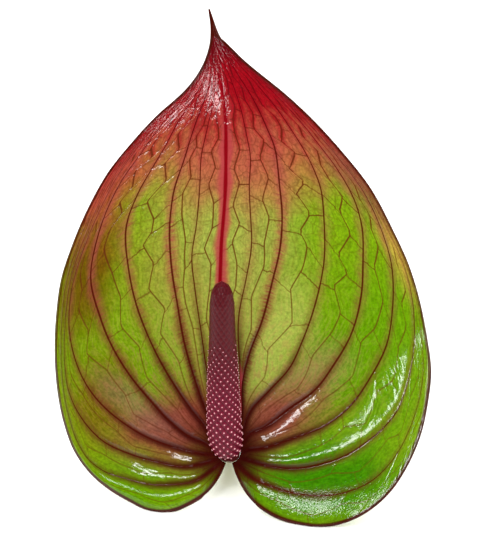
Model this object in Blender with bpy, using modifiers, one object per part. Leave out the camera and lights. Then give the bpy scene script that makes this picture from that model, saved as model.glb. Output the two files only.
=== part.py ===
"""A cut anthurium flower that lies on a surface: its heart-shaped spathe, its spadix and its cut stem.

The bloom is drawn in a frame of its own, in millimetres: x is across, y is along the midrib from
the base to the tip, and z is out of its face. The origin there is the flower's base. That frame
leans back over the stem, which lies along the surface behind it.
"""

import math

import bmesh
import bpy
import numpy as np
from mathutils import Matrix, Vector

MM = 0.001

# How the bloom stands on the surface.
LEAN = math.radians(60)
BASE_PLACE = (-4.4, -115.6, 12.58)

# The neck, where spathe, spadix and stem meet, in the bloom's frame.
NECK = (0.0, 2.0)
COLLAR_RADIUS = 3.7
COLLAR_HALF_TURN = math.radians(165)

# The spathe.
SPATHE_THICK = 0.8
TIP = (-6.4, 144.2)
TIP_HALF_WIDTH = 0.35
MARGIN = 8
ROWS = 34
ROW_EASE = 0.6
FINE_VEINS = 6
PUFF_SHARE = 0.13
PUFF_MOST = 1.4
PUFF_FAR = 0.35
# The panel beyond this vein, on the right, is higher than the rest, with steep sides and a flat top.
PLATEAU_VEIN = 5
PLATEAU_RISE = 1.7
SIDE_ROLL = (0.9, 1.6)
LOBE_ROLL = (2.6, 5.0)

# The rim of each half of the blade, from the notch round the lobe and up to the tip.
RIGHT_RIM = (
    (2.2, -5.4), (7.0, -13.1), (13.1, -17.6), (22.7, -20.8), (29.1, -21.4), (37.1, -19.7),
    (44.4, -16.0), (51.4, -9.7), (56.5, -1.9), (60.6, 7.5), (63.2, 18.6), (64.3, 27.5),
    (63.4, 37.8), (61.1, 50.6), (57.4, 62.5), (52.6, 73.0), (45.4, 86.5), (36.1, 98.4),
    (26.5, 108.9), (16.5, 118.1), (12.9, 121.0), (8.9, 124.2), (4.9, 127.6), (0.9, 131.5),
    (-1.8, 134.1), (-4.0, 135.9), (-4.8, 136.8), (-5.2, 138.4), (-5.7, 141.0),
)
LEFT_RIM = (
    (-2.6, -5.4), (-6.1, -10.2), (-12.5, -14.6), (-18.9, -17.0), (-25.3, -16.7), (-31.7, -13.8),
    (-38.2, -10.1), (-44.9, -4.5), (-49.7, 2.4), (-52.7, 10.5), (-54.7, 20.1), (-55.7, 32.0),
    (-55.4, 45.0), (-53.5, 58.6), (-50.8, 66.8), (-45.1, 80.3), (-38.5, 92.0), (-31.7, 100.5),
    (-22.2, 110.7), (-17.5, 114.8), (-14.7, 117.4), (-12.0, 120.5), (-9.8, 123.7), (-8.1, 127.0),
    (-6.9, 130.4), (-6.2, 133.6), (-5.9, 136.4), (-6.0, 138.6), (-6.3, 141.0),
)
MIDRIB = (
    (-0.6, 12.0), (-1.6, 18.6), (-2.9, 41.0), (-2.9, 57.0), (-2.2, 72.0), (-1.3, 83.0),
    (-1.0, 99.0), (-1.6, 116.0), (-3.4, 126.0), (-5.2, 134.4), (-5.5, 138.6),
)

# The main veins, from the midrib out to the lobes, each as far as it stands clear of the rim.
# From there a vein keeps a share of the way from the midrib to the rim, up to the tip.
RIGHT_VEINS = (
    ((3.4, 14.0), (3.6, 25.0), (3.2, 46.0), (5.4, 57.0), (7.2, 68.0), (6.8, 79.0), (6.5, 88.0),
     (6.9, 96.0)),
    ((4.0, 14.0), (4.2, 24.0), (6.4, 33.0), (10.6, 44.0), (14.0, 57.0), (16.3, 67.0),
     (17.0, 76.0), (16.0, 89.0), (14.7, 99.0)),
    ((6.7, 14.7), (13.1, 21.8), (19.5, 29.0), (23.7, 38.0), (27.8, 50.0), (30.4, 63.0),
     (30.4, 76.0), (29.4, 86.0), (25.3, 96.3)),
    ((6.4, 7.6), (11.5, 9.9), (19.5, 16.0), (27.5, 21.8), (33.9, 30.4), (39.0, 39.4),
     (42.0, 50.0), (42.9, 63.0), (42.4, 75.0), (39.8, 83.4), (35.0, 92.0)),
    ((5.3, 2.3), (10.6, 3.2), (21.1, 6.7), (31.4, 10.9), (38.0, 16.0), (45.1, 25.6),
     (50.5, 36.5), (52.3, 47.5), (52.0, 62.0), (48.8, 73.0), (42.6, 86.0)),
    ((5.6, -0.6), (14.7, -2.6), (22.7, -2.9), (30.7, -1.3), (37.1, 1.0), (43.5, 5.1),
     (49.0, 9.6), (53.4, 15.0), (56.9, 24.0), (59.1, 36.2), (58.6, 51.2), (54.7, 65.0)),
    ((4.6, -4.0), (8.3, -6.6), (13.1, -8.6), (22.7, -11.2), (35.5, -10.9), (45.1, -7.0),
     (52.9, 1.0), (57.9, 10.6), (60.5, 18.6), (61.9, 27.0), (61.6, 37.0), (59.8, 51.0),
     (55.5, 65.0)),
)
LEFT_VEINS = (
    ((-2.6, 9.5), (-5.0, 18.0), (-7.0, 27.5), (-9.0, 41.0), (-10.9, 54.0), (-11.9, 64.0),
     (-10.4, 75.0), (-9.4, 86.0), (-8.8, 97.0)),
    ((-4.8, 10.0), (-7.7, 16.0), (-10.9, 25.0), (-14.1, 36.0), (-16.4, 48.5), (-18.6, 63.0),
     (-18.9, 76.0), (-17.5, 86.0), (-14.2, 96.0)),
    ((-7.0, 9.2), (-12.5, 16.0), (-18.9, 25.6), (-24.6, 36.2), (-29.5, 48.6), (-32.3, 61.5),
     (-32.9, 74.0), (-29.4, 84.2), (-24.6, 92.8), (-20.6, 99.5)),
    ((-7.2, 4.6), (-12.5, 6.8), (-19.5, 12.2), (-25.3, 18.6), (-31.4, 26.0), (-36.5, 34.0),
     (-41.2, 45.0), (-44.3, 58.0), (-42.8, 68.0), (-38.9, 80.0), (-34.0, 89.5), (-29.0, 96.5)),
    ((-8.2, 1.4), (-14.1, 2.6), (-26.9, 7.0), (-33.3, 10.9), (-39.0, 15.4), (-44.7, 22.0),
     (-49.0, 31.0), (-51.1, 41.0), (-50.9, 50.0)),
    ((-7.4, -1.4), (-14.9, -2.7), (-22.9, -1.2), (-31.7, 1.3), (-40.3, 5.4), (-46.6, 12.0),
     (-50.8, 20.0), (-52.6, 31.0)),
    ((-6.1, -4.2), (-10.6, -7.0), (-18.0, -8.3), (-26.0, -8.2), (-33.3, -6.4), (-39.8, -4.3),
     (-44.8, -0.6), (-48.4, 5.0), (-50.8, 12.0), (-52.6, 20.0)),
)
SHARES_AT_TIP = (0.2, 0.42, 0.66, 0.8, 0.87, 0.92, 0.96)
GATHER_STEP = 8.0

# How far the blade stands out of the flat: its lobes cup forwards, its sides roll back.
RIGHT_LOBE = (14.0, 60.0, 45.3, 0.49, 8.0)
LEFT_LOBE = (-100.0, 281.0, 289.0, 0.49, 5.5)
LOBE_BLEND = 12.0
LOBE_CLEAR = 9.0
SIDE_CUP = 2.0
BACK_FOLD = 3.0
TIP_BEND_START = 103.0
TIP_BEND_RUN = 13.0
TIP_SLOPE = 0.31
TIP_RIDGE = 2.2
TIP_RIDGE_WIDTH = 11.0
RIPPLE = 0.9
HALF_WIDTH = 60.0

# The spadix: its axis in the bloom's frame, and its radius along its length.
SPADIX_AXIS = (
    (0.0, 2.65, 3.0), (-0.7, 4.6, 6.4), (-1.4, 9.5, 10.4), (-1.7, 18.0, 14.6), (-1.9, 32.0, 20.6),
    (-2.1, 46.0, 26.0), (-2.2, 56.7, 29.6),
)
SPADIX_PLACES = (0.0, 0.025, 0.05, 0.09, 0.16, 0.35, 0.62, 0.88, 0.94, 0.98, 1.0)
SPADIX_RADII = (2.2, 3.5, 4.4, 5.0, 5.2, 4.85, 4.25, 3.8, 3.25, 2.05, 0.0)
FLORET_COLUMNS = 28
FLORET_ROWS = 50
FLORET_RISE = 0.42
BUD_RISE = 0.16
BUD_START = 0.54
BUD_BLEND = 0.2
KNOB_ANGLE = 20
FLORET_TWIST = 1.1

# The stem: its neck through the spathe, then its way along the surface, in front-to-back places.
STEM_NECK = ((0.0, 2.5, 2.6), (0.0, 2.05, 0.6), (0.0, 1.95, -1.5), (0.0, 1.9, -5.0))
STEM_RUN = (
    (0.0, 14.0, 7.9), (-0.2, 25.0, 5.4), (-0.6, 40.0, 4.2), (-1.6, 66.0, 3.8), (-3.6, 105.0, 4.6),
    (-4.2, 150.0, 4.9), (-2.6, 195.0, 4.3), (-0.4, 232.0, 3.6), (0.8, 256.0, 3.45),
)
NECK_RADIUS = 3.3
STEM_END_RADIUS = 3.6
STEM_POINTS = 46
CUT_PLACE = (0.0, 250.0, 3.5)
CUT_FACING = (0.0, 0.82, 0.57)


def smooth_curve(points, shares):
    """Points at these shares of the length of one smooth curve through the given points."""
    points = np.array(points, float)
    moves = np.diff(points, axis=0)
    steps = np.linalg.norm(moves, axis=1)[:, None]
    slopes = moves / steps
    inner = (slopes[:-1] * steps[1:] + slopes[1:] * steps[:-1]) / (steps[:-1] + steps[1:])
    tangents = np.vstack([slopes[:1], inner, slopes[-1:]])
    t = np.linspace(0, 1, 16, endpoint=False)[:, None]
    runs = []
    for i, step in enumerate(steps):
        start, end = points[i], points[i + 1]
        leave, arrive = tangents[i] * step, tangents[i + 1] * step
        runs.append(
            start * (2 * t**3 - 3 * t**2 + 1)
            + leave * (t**3 - 2 * t**2 + t)
            + end * (3 * t**2 - 2 * t**3)
            + arrive * (t**3 - t**2)
        )
    dense = np.vstack(runs + [points[-1:]])
    pieces = np.linalg.norm(np.diff(dense, axis=0), axis=1)
    travelled = np.concatenate([[0], np.cumsum(pieces)])
    wanted = np.asarray(shares) * travelled[-1]
    return np.column_stack([np.interp(wanted, travelled, axis) for axis in dense.T])


def smooth_step(value):
    value = np.clip(value, 0, 1)
    return value * value * (3 - 2 * value)


def collar_point(number):
    """Where a rib starts on the neck's ring: 0 is the midrib, and the rims are at plus and minus 8."""
    turn = math.pi / 2 - number * COLLAR_HALF_TURN / MARGIN
    return (
        NECK[0] + COLLAR_RADIUS * math.cos(turn),
        NECK[1] + COLLAR_RADIUS * math.sin(turn),
    )


def tip_point(number):
    return (TIP[0] + TIP_HALF_WIDTH * number / MARGIN, TIP[1])


def whole_rib(number, traced):
    return [collar_point(number), *traced, tip_point(number)]


def reach_at(curve, along):
    """How far across a rib is at this height up the blade, on its run up to the tip."""
    rising = curve[np.argmin(curve[:, 1]):]
    return np.interp(along, rising[:, 1], rising[:, 0])


def ribs(shares):
    """The 17 ribs of the blade, rim to rim, each at the same shares of its own length."""
    dense = np.linspace(0, 1, 400)
    middle = smooth_curve(whole_rib(0, MIDRIB), dense)
    found = {0: smooth_curve(whole_rib(0, MIDRIB), shares)}
    for sign, rim, veins in ((1, RIGHT_RIM, RIGHT_VEINS), (-1, LEFT_RIM, LEFT_VEINS)):
        edge = smooth_curve(whole_rib(sign * MARGIN, rim), dense)
        found[sign * MARGIN] = smooth_curve(whole_rib(sign * MARGIN, rim), shares)
        for number, (traced, share_at_tip) in enumerate(zip(veins, SHARES_AT_TIP), 1):
            across, start = traced[-1]
            inner, outer = reach_at(middle, start), reach_at(edge, start)
            share_at_start = (across - inner) / (outer - inner)
            upper = []
            for along in np.arange(start + GATHER_STEP, TIP[1] - GATHER_STEP / 2, GATHER_STEP):
                way_up = (along - start) / (TIP[1] - start)
                share = share_at_start + (share_at_tip - share_at_start) * way_up
                inner, outer = reach_at(middle, along), reach_at(edge, along)
                upper.append((inner + share * (outer - inner), along))
            points = whole_rib(sign * number, [*traced, *upper])
            found[sign * number] = smooth_curve(points, shares)
    return np.array([found[number] for number in range(-MARGIN, MARGIN + 1)])


def lobe_rise(across, along, lobe):
    """How far a lobe cups forwards here: its slope eases in with the distance from a centre."""
    centre_across, centre_along, start, slope, ease = lobe
    past = np.clip(np.hypot(across - centre_across, along - centre_along) - start, 0, None)
    return slope * (past - ease * (1 - np.exp(-past / ease)))


def rim_roll(inset, across, along):
    """How far the rim rolls back at this distance in from it, more broadly on the lobes."""
    up_the_side = smooth_step((along + 16) / 12)
    depth, width = (
        lobe + (side - lobe) * up_the_side for side, lobe in zip(SIDE_ROLL, LOBE_ROLL)
    )
    # It stays nearly straight round the outside of the right lobe.
    depth *= 1 - 0.85 * smooth_step((across - 30) / 10) * smooth_step((30 - along) / 20)
    return depth * np.exp(-inset / width)


def face_height(across, along):
    """How far the face stands out of the flat at this place, before its panels are puffed."""
    from_middle = np.abs(across) / HALF_WIDTH
    right = 0.5 + 0.5 * np.tanh(across / LOBE_BLEND)
    lobes = right * lobe_rise(across, along, RIGHT_LOBE)
    lobes += (1 - right) * lobe_rise(across, along, LEFT_LOBE)
    lobes *= smooth_step(np.abs(across) / LOBE_CLEAR) * smooth_step((55 - along) / 25)
    cup = SIDE_CUP * from_middle**2.5 * smooth_step((80 - along) / 60)
    fold = BACK_FOLD * from_middle**2 * smooth_step((along - 55) / 45)
    past = np.clip(along - TIP_BEND_START, 0, None)
    bend = TIP_SLOPE * (past - TIP_BEND_RUN * (1 - np.exp(-past / TIP_BEND_RUN)))
    ripple = RIPPLE * from_middle**2 * np.sin(along / 13 + np.sign(across))
    off_midrib = across - TIP[0] * smooth_step((along - 100) / 40)
    ridge = TIP_RIDGE * (1 - np.exp(-((off_midrib / TIP_RIDGE_WIDTH) ** 2)))
    ridge *= smooth_step((along - 68) / 50)
    return lobes + cup - fold - bend - ridge + ripple


def blade_points(columns, rows):
    """The blade's face at these rib numbers and shares of length, as an array of points."""
    bones = ribs(rows)
    below = np.clip(np.floor(columns).astype(int), -MARGIN, MARGIN - 1)
    part = (columns - below)[:, None]
    left, right = bones[below + MARGIN], bones[below + MARGIN + 1]
    flat = left + (right - left) * part[..., None]
    across, along = flat[..., 0], flat[..., 1]
    width = np.linalg.norm(right - left, axis=2)
    crown = 4 * part * (1 - part)
    plateau = below == PLATEAU_VEIN
    crown[plateau] = PLATEAU_RISE * (1 - (2 * part[plateau] - 1) ** 4)
    puff = np.minimum(PUFF_SHARE * width, PUFF_MOST) * crown
    rim = bones[np.where(columns > 0, 2 * MARGIN, 0)]
    inset = np.linalg.norm(flat - rim, axis=2)
    roll = rim_roll(inset, across, along)
    from_neck = np.linalg.norm(flat - np.array(NECK), axis=2) - COLLAR_RADIUS
    puff *= 1 - (1 - PUFF_FAR) * smooth_step((from_neck - 12) / 34)
    puff *= 1 - 0.65 * smooth_step((along - 60) / 40)
    puff *= 1 - 0.9 * smooth_step((columns - 5.9) / 0.3)[:, None]
    height = (face_height(across, along) + puff - roll) * smooth_step(from_neck / 9)
    return np.stack([across, along, height], axis=2)


def material(name, hex_colour, roughness, coat=0.0):
    made = bpy.data.materials.new(name)
    made.use_nodes = True
    shader = made.node_tree.nodes["Principled BSDF"]
    channels = [int(hex_colour[i:i + 2], 16) / 255 for i in (0, 2, 4)]
    linear = [c / 12.92 if c <= 0.04045 else ((c + 0.055) / 1.055) ** 2.4 for c in channels]
    shader.inputs["Base Color"].default_value = (*linear, 1)
    shader.inputs["Roughness"].default_value = roughness
    shader.inputs["Metallic"].default_value = 0
    shader.inputs["Coat Weight"].default_value = coat
    made.diffuse_color = (*linear, 1)
    return made


def place_object(name, mesh, finish, parent=None):
    mesh.name = name
    mesh.materials.clear()
    mesh.materials.append(finish)
    made = bpy.data.objects.new(name, mesh)
    made.parent = parent
    bpy.data.collections["cut_anthurium"].objects.link(made)
    return made


def applied(thing):
    """The object's mesh with its modifiers or bevel applied. The object itself is removed."""
    graph = bpy.context.evaluated_depsgraph_get()
    mesh = bpy.data.meshes.new_from_object(thing.evaluated_get(graph))
    bpy.data.objects.remove(thing)
    return mesh


def slice_off(mesh, point, facing):
    """Cuts away what lies beyond a plane, and closes the cut with a flat face."""
    bm = bmesh.new()
    bm.from_mesh(mesh)
    bmesh.ops.remove_doubles(bm, verts=bm.verts, dist=0.001 * MM)
    cut = bmesh.ops.bisect_plane(
        bm,
        geom=bm.verts[:] + bm.edges[:] + bm.faces[:],
        dist=0.001 * MM,
        plane_co=point,
        plane_no=facing,
        clear_outer=True,
    )
    rim = [piece for piece in cut["geom_cut"] if isinstance(piece, bmesh.types.BMEdge)]
    bmesh.ops.edgeloop_fill(bm, edges=rim)
    bmesh.ops.triangulate(bm, faces=bm.faces)
    bmesh.ops.recalc_face_normals(bm, faces=bm.faces)
    bm.to_mesh(mesh)
    bm.free()


def shade_round(mesh, sharp_angle=50):
    mesh.shade_smooth()
    mesh.set_sharp_from_angle(angle=math.radians(sharp_angle))


def make_spathe(bloom):
    half = [*np.arange(0, FINE_VEINS, 0.25), *np.arange(FINE_VEINS, MARGIN + 0.5, 0.5)]
    columns = np.array([-place for place in half[:0:-1]] + half)
    evenly = np.linspace(0, 1, ROWS + 1)
    rows = evenly - ROW_EASE * np.sin(2 * math.pi * evenly) / (2 * math.pi)
    points = blade_points(columns, rows)

    bm = bmesh.new()
    grid = bmesh.ops.create_grid(bm, x_segments=len(columns) - 1, y_segments=ROWS, size=1)
    for vert in grid["verts"]:
        column = round((vert.co.x + 1) / 2 * (len(columns) - 1))
        row = round((vert.co.y + 1) / 2 * ROWS)
        vert.co = Vector(points[column, row]) * MM
    bmesh.ops.triangulate(bm, faces=bm.faces, quad_method="SHORT_EDGE")
    mesh = bpy.data.meshes.new("spathe")
    bm.to_mesh(mesh)
    bm.free()

    finish = material("waxy_green_bract", "86962A", 0.32, coat=0.4)
    spathe = place_object("spathe", mesh, finish, bloom)
    wall = spathe.modifiers.new("wall", "SOLIDIFY")
    wall.thickness = SPATHE_THICK * MM
    wall.offset = -1
    to_bloom = bloom.matrix_world.inverted()
    solid = applied(spathe)
    slice_off(solid, to_bloom @ Vector((0, 0, 0)), to_bloom.to_3x3() @ Vector((0, 0, -1)))
    shade_round(solid)
    return place_object("spathe", solid, finish, bloom)


def split_between_knobs(bm, raised):
    """Splits each four-sided face along its two low corners, so that every knob stands alone."""
    for face in bm.faces[:]:
        low = [vert for vert in face.verts if vert not in raised]
        if len(face.verts) == 4 and len(low) == 2:
            bmesh.utils.face_split(face, *low)
    bmesh.ops.triangulate(bm, faces=bm.faces)


def make_spadix(bloom):
    bm = bmesh.new()
    bmesh.ops.create_uvsphere(
        bm, u_segments=FLORET_COLUMNS, v_segments=FLORET_ROWS, radius=1
    )
    shares = np.linspace(0, 1, FLORET_ROWS + 1)
    axis = smooth_curve(SPADIX_AXIS, shares)
    heading = np.gradient(axis, axis=0)
    heading /= np.linalg.norm(heading, axis=1)[:, None]
    radii = np.interp(shares, SPADIX_PLACES, SPADIX_RADII)
    rises = FLORET_RISE + (BUD_RISE - FLORET_RISE) * smooth_step((shares - BUD_START) / BUD_BLEND)
    raised = set()
    for vert in bm.verts:
        row = round(math.acos(max(-1, min(1, -vert.co.z))) / math.pi * FLORET_ROWS)
        turn = math.atan2(vert.co.y, vert.co.x)
        column = round(turn / (2 * math.pi) * FLORET_COLUMNS)
        turn += FLORET_TWIST * shares[row]
        side = np.cross(heading[row], (1, 0, 0))
        side /= np.linalg.norm(side)
        front = np.cross(side, heading[row])
        radius = 0 if row in (0, FLORET_ROWS) else radii[row]
        if (row + column) % 2 == 0 and 1 < row < FLORET_ROWS - 1:
            radius += rises[row]
            raised.add(vert)
        out = front * math.cos(turn) + side * math.sin(turn)
        vert.co = Vector(axis[row] + out * radius) * MM
    split_between_knobs(bm, raised)
    bmesh.ops.recalc_face_normals(bm, faces=bm.faces)
    mesh = bpy.data.meshes.new("spadix")
    bm.to_mesh(mesh)
    bm.free()
    shade_round(mesh, KNOB_ANGLE)
    return place_object("spadix", mesh, material("maroon_florets", "702636", 0.45), bloom)


def make_stem(bloom):
    neck = [bloom.matrix_world @ (Vector(point) * MM) / MM for point in STEM_NECK]
    base = Vector((BASE_PLACE[0], BASE_PLACE[1], 0))
    route = [*neck, *(Vector(point) + base for point in STEM_RUN)]
    shares = np.linspace(0, 1, STEM_POINTS)
    # The neck bends most, so its points lie closer together.
    axis = smooth_curve(route, shares**1.35)
    radii = NECK_RADIUS + (STEM_END_RADIUS - NECK_RADIUS) * smooth_step(shares * 1.6)

    curve = bpy.data.curves.new("stem", "CURVE")
    curve.dimensions = "3D"
    curve.bevel_depth = MM
    curve.bevel_resolution = 4
    curve.use_fill_caps = True
    spline = curve.splines.new("POLY")
    spline.points.add(STEM_POINTS - 1)
    for point, place, radius in zip(spline.points, axis, radii):
        point.co = (*(place * MM), 1)
        point.radius = radius
    tube = bpy.data.objects.new("stem", curve)
    bpy.data.collections["cut_anthurium"].objects.link(tube)
    mesh = applied(tube)
    cut_place = (Vector(CUT_PLACE) + base) * MM
    slice_off(mesh, cut_place, Vector(CUT_FACING))
    slice_off(mesh, Vector((0, 0, 0)), Vector((0, 0, -1)))
    shade_round(mesh)
    return place_object("stem", mesh, material("green_stalk", "6F8A2A", 0.42))


def main():
    for thing in list(bpy.data.objects):
        bpy.data.objects.remove(thing)
    collection = bpy.data.collections.new("cut_anthurium")
    bpy.context.scene.collection.children.link(collection)
    bloom = bpy.data.objects.new("bloom_frame", None)
    collection.objects.link(bloom)
    bloom.matrix_world = Matrix.Translation(Vector(BASE_PLACE) * MM) @ Matrix.Rotation(LEAN, 4, "X")
    bpy.context.view_layer.update()
    make_spathe(bloom)
    make_spadix(bloom)
    make_stem(bloom)


main()
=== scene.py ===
import math
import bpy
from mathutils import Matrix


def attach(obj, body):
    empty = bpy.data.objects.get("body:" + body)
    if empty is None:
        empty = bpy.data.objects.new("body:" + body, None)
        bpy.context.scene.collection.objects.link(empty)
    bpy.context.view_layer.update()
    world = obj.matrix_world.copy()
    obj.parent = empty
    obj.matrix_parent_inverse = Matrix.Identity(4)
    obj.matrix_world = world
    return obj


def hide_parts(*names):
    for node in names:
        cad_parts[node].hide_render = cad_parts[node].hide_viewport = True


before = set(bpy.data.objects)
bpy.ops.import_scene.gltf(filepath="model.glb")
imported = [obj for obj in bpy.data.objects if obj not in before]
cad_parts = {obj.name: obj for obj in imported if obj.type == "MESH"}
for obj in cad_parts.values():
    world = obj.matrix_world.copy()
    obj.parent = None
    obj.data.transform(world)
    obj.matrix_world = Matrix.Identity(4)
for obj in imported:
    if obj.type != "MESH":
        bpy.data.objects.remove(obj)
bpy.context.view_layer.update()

from types import SimpleNamespace

import bmesh
import bpy
import numpy as np
from mathutils import Matrix, Vector

# The looks of a cut anthurium: its waxy spathe with sunken veins, its spadix and its cut stem.
# The bloom is drawn in a frame of its own, in millimetres: x is across, y is along the midrib from
# the base to the tip, and z is out of its face. That frame leans back over the stem.

MM = 0.001

# How the bloom stands on the surface, as in the solids.
LEAN = math.radians(60)
BASE_PLACE = (-4.4, -115.6, 12.58)
BLOOM = Matrix.Translation(Vector(BASE_PLACE) * MM) @ Matrix.Rotation(LEAN, 4, "X")

# The neck, where spathe, spadix and stem meet, in the bloom's frame.
NECK = (0.0, 2.0)
COLLAR_RADIUS = 3.7
COLLAR_HALF_TURN = math.radians(165)

# The spathe.
SPATHE_THICK = 0.8
TIP = (-6.4, 144.2)
TIP_HALF_WIDTH = 0.35
MARGIN = 8
PUFF_SHARE = 0.13
PUFF_MOST = 1.4
SIDE_ROLL = (0.9, 1.6)
LOBE_ROLL = (2.6, 5.0)

# The rim of each half of the blade, from the notch round the lobe and up to the tip.
RIGHT_RIM = (
    (2.2, -5.4), (7.0, -13.1), (13.1, -17.6), (22.7, -20.8), (29.1, -21.4), (37.1, -19.7),
    (44.4, -16.0), (51.4, -9.7), (56.5, -1.9), (60.6, 7.5), (63.2, 18.6), (64.3, 27.5),
    (63.4, 37.8), (61.1, 50.6), (57.4, 62.5), (52.6, 73.0), (45.4, 86.5), (36.1, 98.4),
    (26.5, 108.9), (16.5, 118.1), (12.9, 121.0), (8.9, 124.2), (4.9, 127.6), (0.9, 131.5),
    (-1.8, 134.1), (-4.0, 135.9), (-4.8, 136.8), (-5.2, 138.4), (-5.7, 141.0),
)
LEFT_RIM = (
    (-2.6, -5.4), (-6.1, -10.2), (-12.5, -14.6), (-18.9, -17.0), (-25.3, -16.7), (-31.7, -13.8),
    (-38.2, -10.1), (-44.9, -4.5), (-49.7, 2.4), (-52.7, 10.5), (-54.7, 20.1), (-55.7, 32.0),
    (-55.4, 45.0), (-53.5, 58.6), (-50.8, 66.8), (-45.1, 80.3), (-38.5, 92.0), (-31.7, 100.5),
    (-22.2, 110.7), (-17.5, 114.8), (-14.7, 117.4), (-12.0, 120.5), (-9.8, 123.7), (-8.1, 127.0),
    (-6.9, 130.4), (-6.2, 133.6), (-5.9, 136.4), (-6.0, 138.6), (-6.3, 141.0),
)
MIDRIB = (
    (-0.6, 12.0), (-1.6, 18.6), (-2.9, 41.0), (-2.9, 57.0), (-2.2, 72.0), (-1.3, 83.0),
    (-1.0, 99.0), (-1.6, 116.0), (-3.4, 126.0), (-5.2, 134.4), (-5.5, 138.6),
)

# The main veins, from the midrib out to the lobes, each as far as it stands clear of the rim.
# From there a vein keeps a share of the way from the midrib to the rim, up to the tip.
RIGHT_VEINS = (
    ((3.4, 14.0), (3.6, 25.0), (3.2, 46.0), (5.4, 57.0), (7.2, 68.0), (6.8, 79.0), (6.5, 88.0),
     (6.9, 96.0)),
    ((4.0, 14.0), (4.2, 24.0), (6.4, 33.0), (10.6, 44.0), (14.0, 57.0), (16.3, 67.0),
     (17.0, 76.0), (16.0, 89.0), (14.7, 99.0)),
    ((6.7, 14.7), (13.1, 21.8), (19.5, 29.0), (23.7, 38.0), (27.8, 50.0), (30.4, 63.0),
     (30.4, 76.0), (29.4, 86.0), (25.3, 96.3)),
    ((6.4, 7.6), (11.5, 9.9), (19.5, 16.0), (27.5, 21.8), (33.9, 30.4), (39.0, 39.4),
     (42.0, 50.0), (42.9, 63.0), (42.4, 75.0), (39.8, 83.4), (35.0, 92.0)),
    ((5.3, 2.3), (10.6, 3.2), (21.1, 6.7), (31.4, 10.9), (38.0, 16.0), (45.1, 25.6),
     (50.5, 36.5), (52.3, 47.5), (52.0, 62.0), (48.8, 73.0), (42.6, 86.0)),
    ((5.6, -0.6), (14.7, -2.6), (22.7, -2.9), (30.7, -1.3), (37.1, 1.0), (43.5, 5.1),
     (49.0, 9.6), (53.4, 15.0), (56.9, 24.0), (59.1, 36.2), (58.6, 51.2), (54.7, 65.0)),
    ((4.6, -4.0), (8.3, -6.6), (13.1, -8.6), (22.7, -11.2), (35.5, -10.9), (45.1, -7.0),
     (52.9, 1.0), (57.9, 10.6), (60.5, 18.6), (61.9, 27.0), (61.6, 37.0), (59.8, 51.0),
     (55.5, 65.0)),
)
LEFT_VEINS = (
    ((-2.6, 9.5), (-5.0, 18.0), (-7.0, 27.5), (-9.0, 41.0), (-10.9, 54.0), (-11.9, 64.0),
     (-10.4, 75.0), (-9.4, 86.0), (-8.8, 97.0)),
    ((-4.8, 10.0), (-7.7, 16.0), (-10.9, 25.0), (-14.1, 36.0), (-16.4, 48.5), (-18.6, 63.0),
     (-18.9, 76.0), (-17.5, 86.0), (-14.2, 96.0)),
    ((-7.0, 9.2), (-12.5, 16.0), (-18.9, 25.6), (-24.6, 36.2), (-29.5, 48.6), (-32.3, 61.5),
     (-32.9, 74.0), (-29.4, 84.2), (-24.6, 92.8), (-20.6, 99.5)),
    ((-7.2, 4.6), (-12.5, 6.8), (-19.5, 12.2), (-25.3, 18.6), (-31.4, 26.0), (-36.5, 34.0),
     (-41.2, 45.0), (-44.3, 58.0), (-42.8, 68.0), (-38.9, 80.0), (-34.0, 89.5), (-29.0, 96.5)),
    ((-8.2, 1.4), (-14.1, 2.6), (-26.9, 7.0), (-33.3, 10.9), (-39.0, 15.4), (-44.7, 22.0),
     (-49.0, 31.0), (-51.1, 41.0), (-50.9, 50.0)),
    ((-7.4, -1.4), (-14.9, -2.7), (-22.9, -1.2), (-31.7, 1.3), (-40.3, 5.4), (-46.6, 12.0),
     (-50.8, 20.0), (-52.6, 31.0)),
    ((-6.1, -4.2), (-10.6, -7.0), (-18.0, -8.3), (-26.0, -8.2), (-33.3, -6.4), (-39.8, -4.3),
     (-44.8, -0.6), (-48.4, 5.0), (-50.8, 12.0), (-52.6, 20.0)),
)
SHARES_AT_TIP = (0.2, 0.42, 0.66, 0.8, 0.87, 0.92, 0.96)
GATHER_STEP = 8.0

# How far the blade stands out of the flat: its lobes cup forwards, its sides roll back.
RIGHT_LOBE = (14.0, 60.0, 45.3, 0.49, 8.0)
LEFT_LOBE = (-100.0, 281.0, 289.0, 0.49, 5.5)
LOBE_BLEND = 12.0
SIDE_CUP = 2.0
BACK_FOLD = 3.0
TIP_BEND_START = 103.0
TIP_BEND_RUN = 13.0
TIP_SLOPE = 0.31
TIP_RIDGE = 2.2
TIP_RIDGE_WIDTH = 11.0
RIPPLE = 0.9
RIPPLE_STEP = 13.0
HALF_WIDTH = 60.0

# Where these forms come in: each run is where it starts and how long it is, in millimetres, and
# a negative length leads down the blade.
ROLL_SIDE_RUN = (-16, 12)
LOBE_ACROSS_RUN = (0, 9)
LOBE_ALONG_RUN = (55, -25)
CUP_RUN = (80, -60)
FOLD_RUN = (55, 45)
TIP_SHIFT_RUN = (100, 40)
RIDGE_RUN = (68, 50)
FACE_FROM_NECK = (0, 9)
GROOVE_FROM_NECK = (0, 5)
GROOVE_FROM_RIM = (0, 1.5)

# The rim stays nearly straight round the outside of the right lobe: the runs across and along
# where its roll goes, and the share of it that goes.
OUTSIDE_ACROSS_RUN = (30, 10)
OUTSIDE_ALONG_RUN = (30, -20)
OUTSIDE_STRAIGHTER = 0.85

# How the panels and the grooves fade away from the neck, up the blade, and past a vein on the
# right: where each fade starts, how long it is and the share that is lost.
PUFF_FADES = ((12, 34, 0.65), (60, 40, 0.65), (5.9, 0.3, 0.9))
GROOVE_FADES = ((30, 30, 0.5), (85, 30, 0.75), (6.3, 0.3, 0.9))

# The panel beyond this vein, on the right, is higher than the rest, with steep sides and a flat top.
PLATEAU_VEIN = 5
PLATEAU_RISE = 1.7

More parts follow.
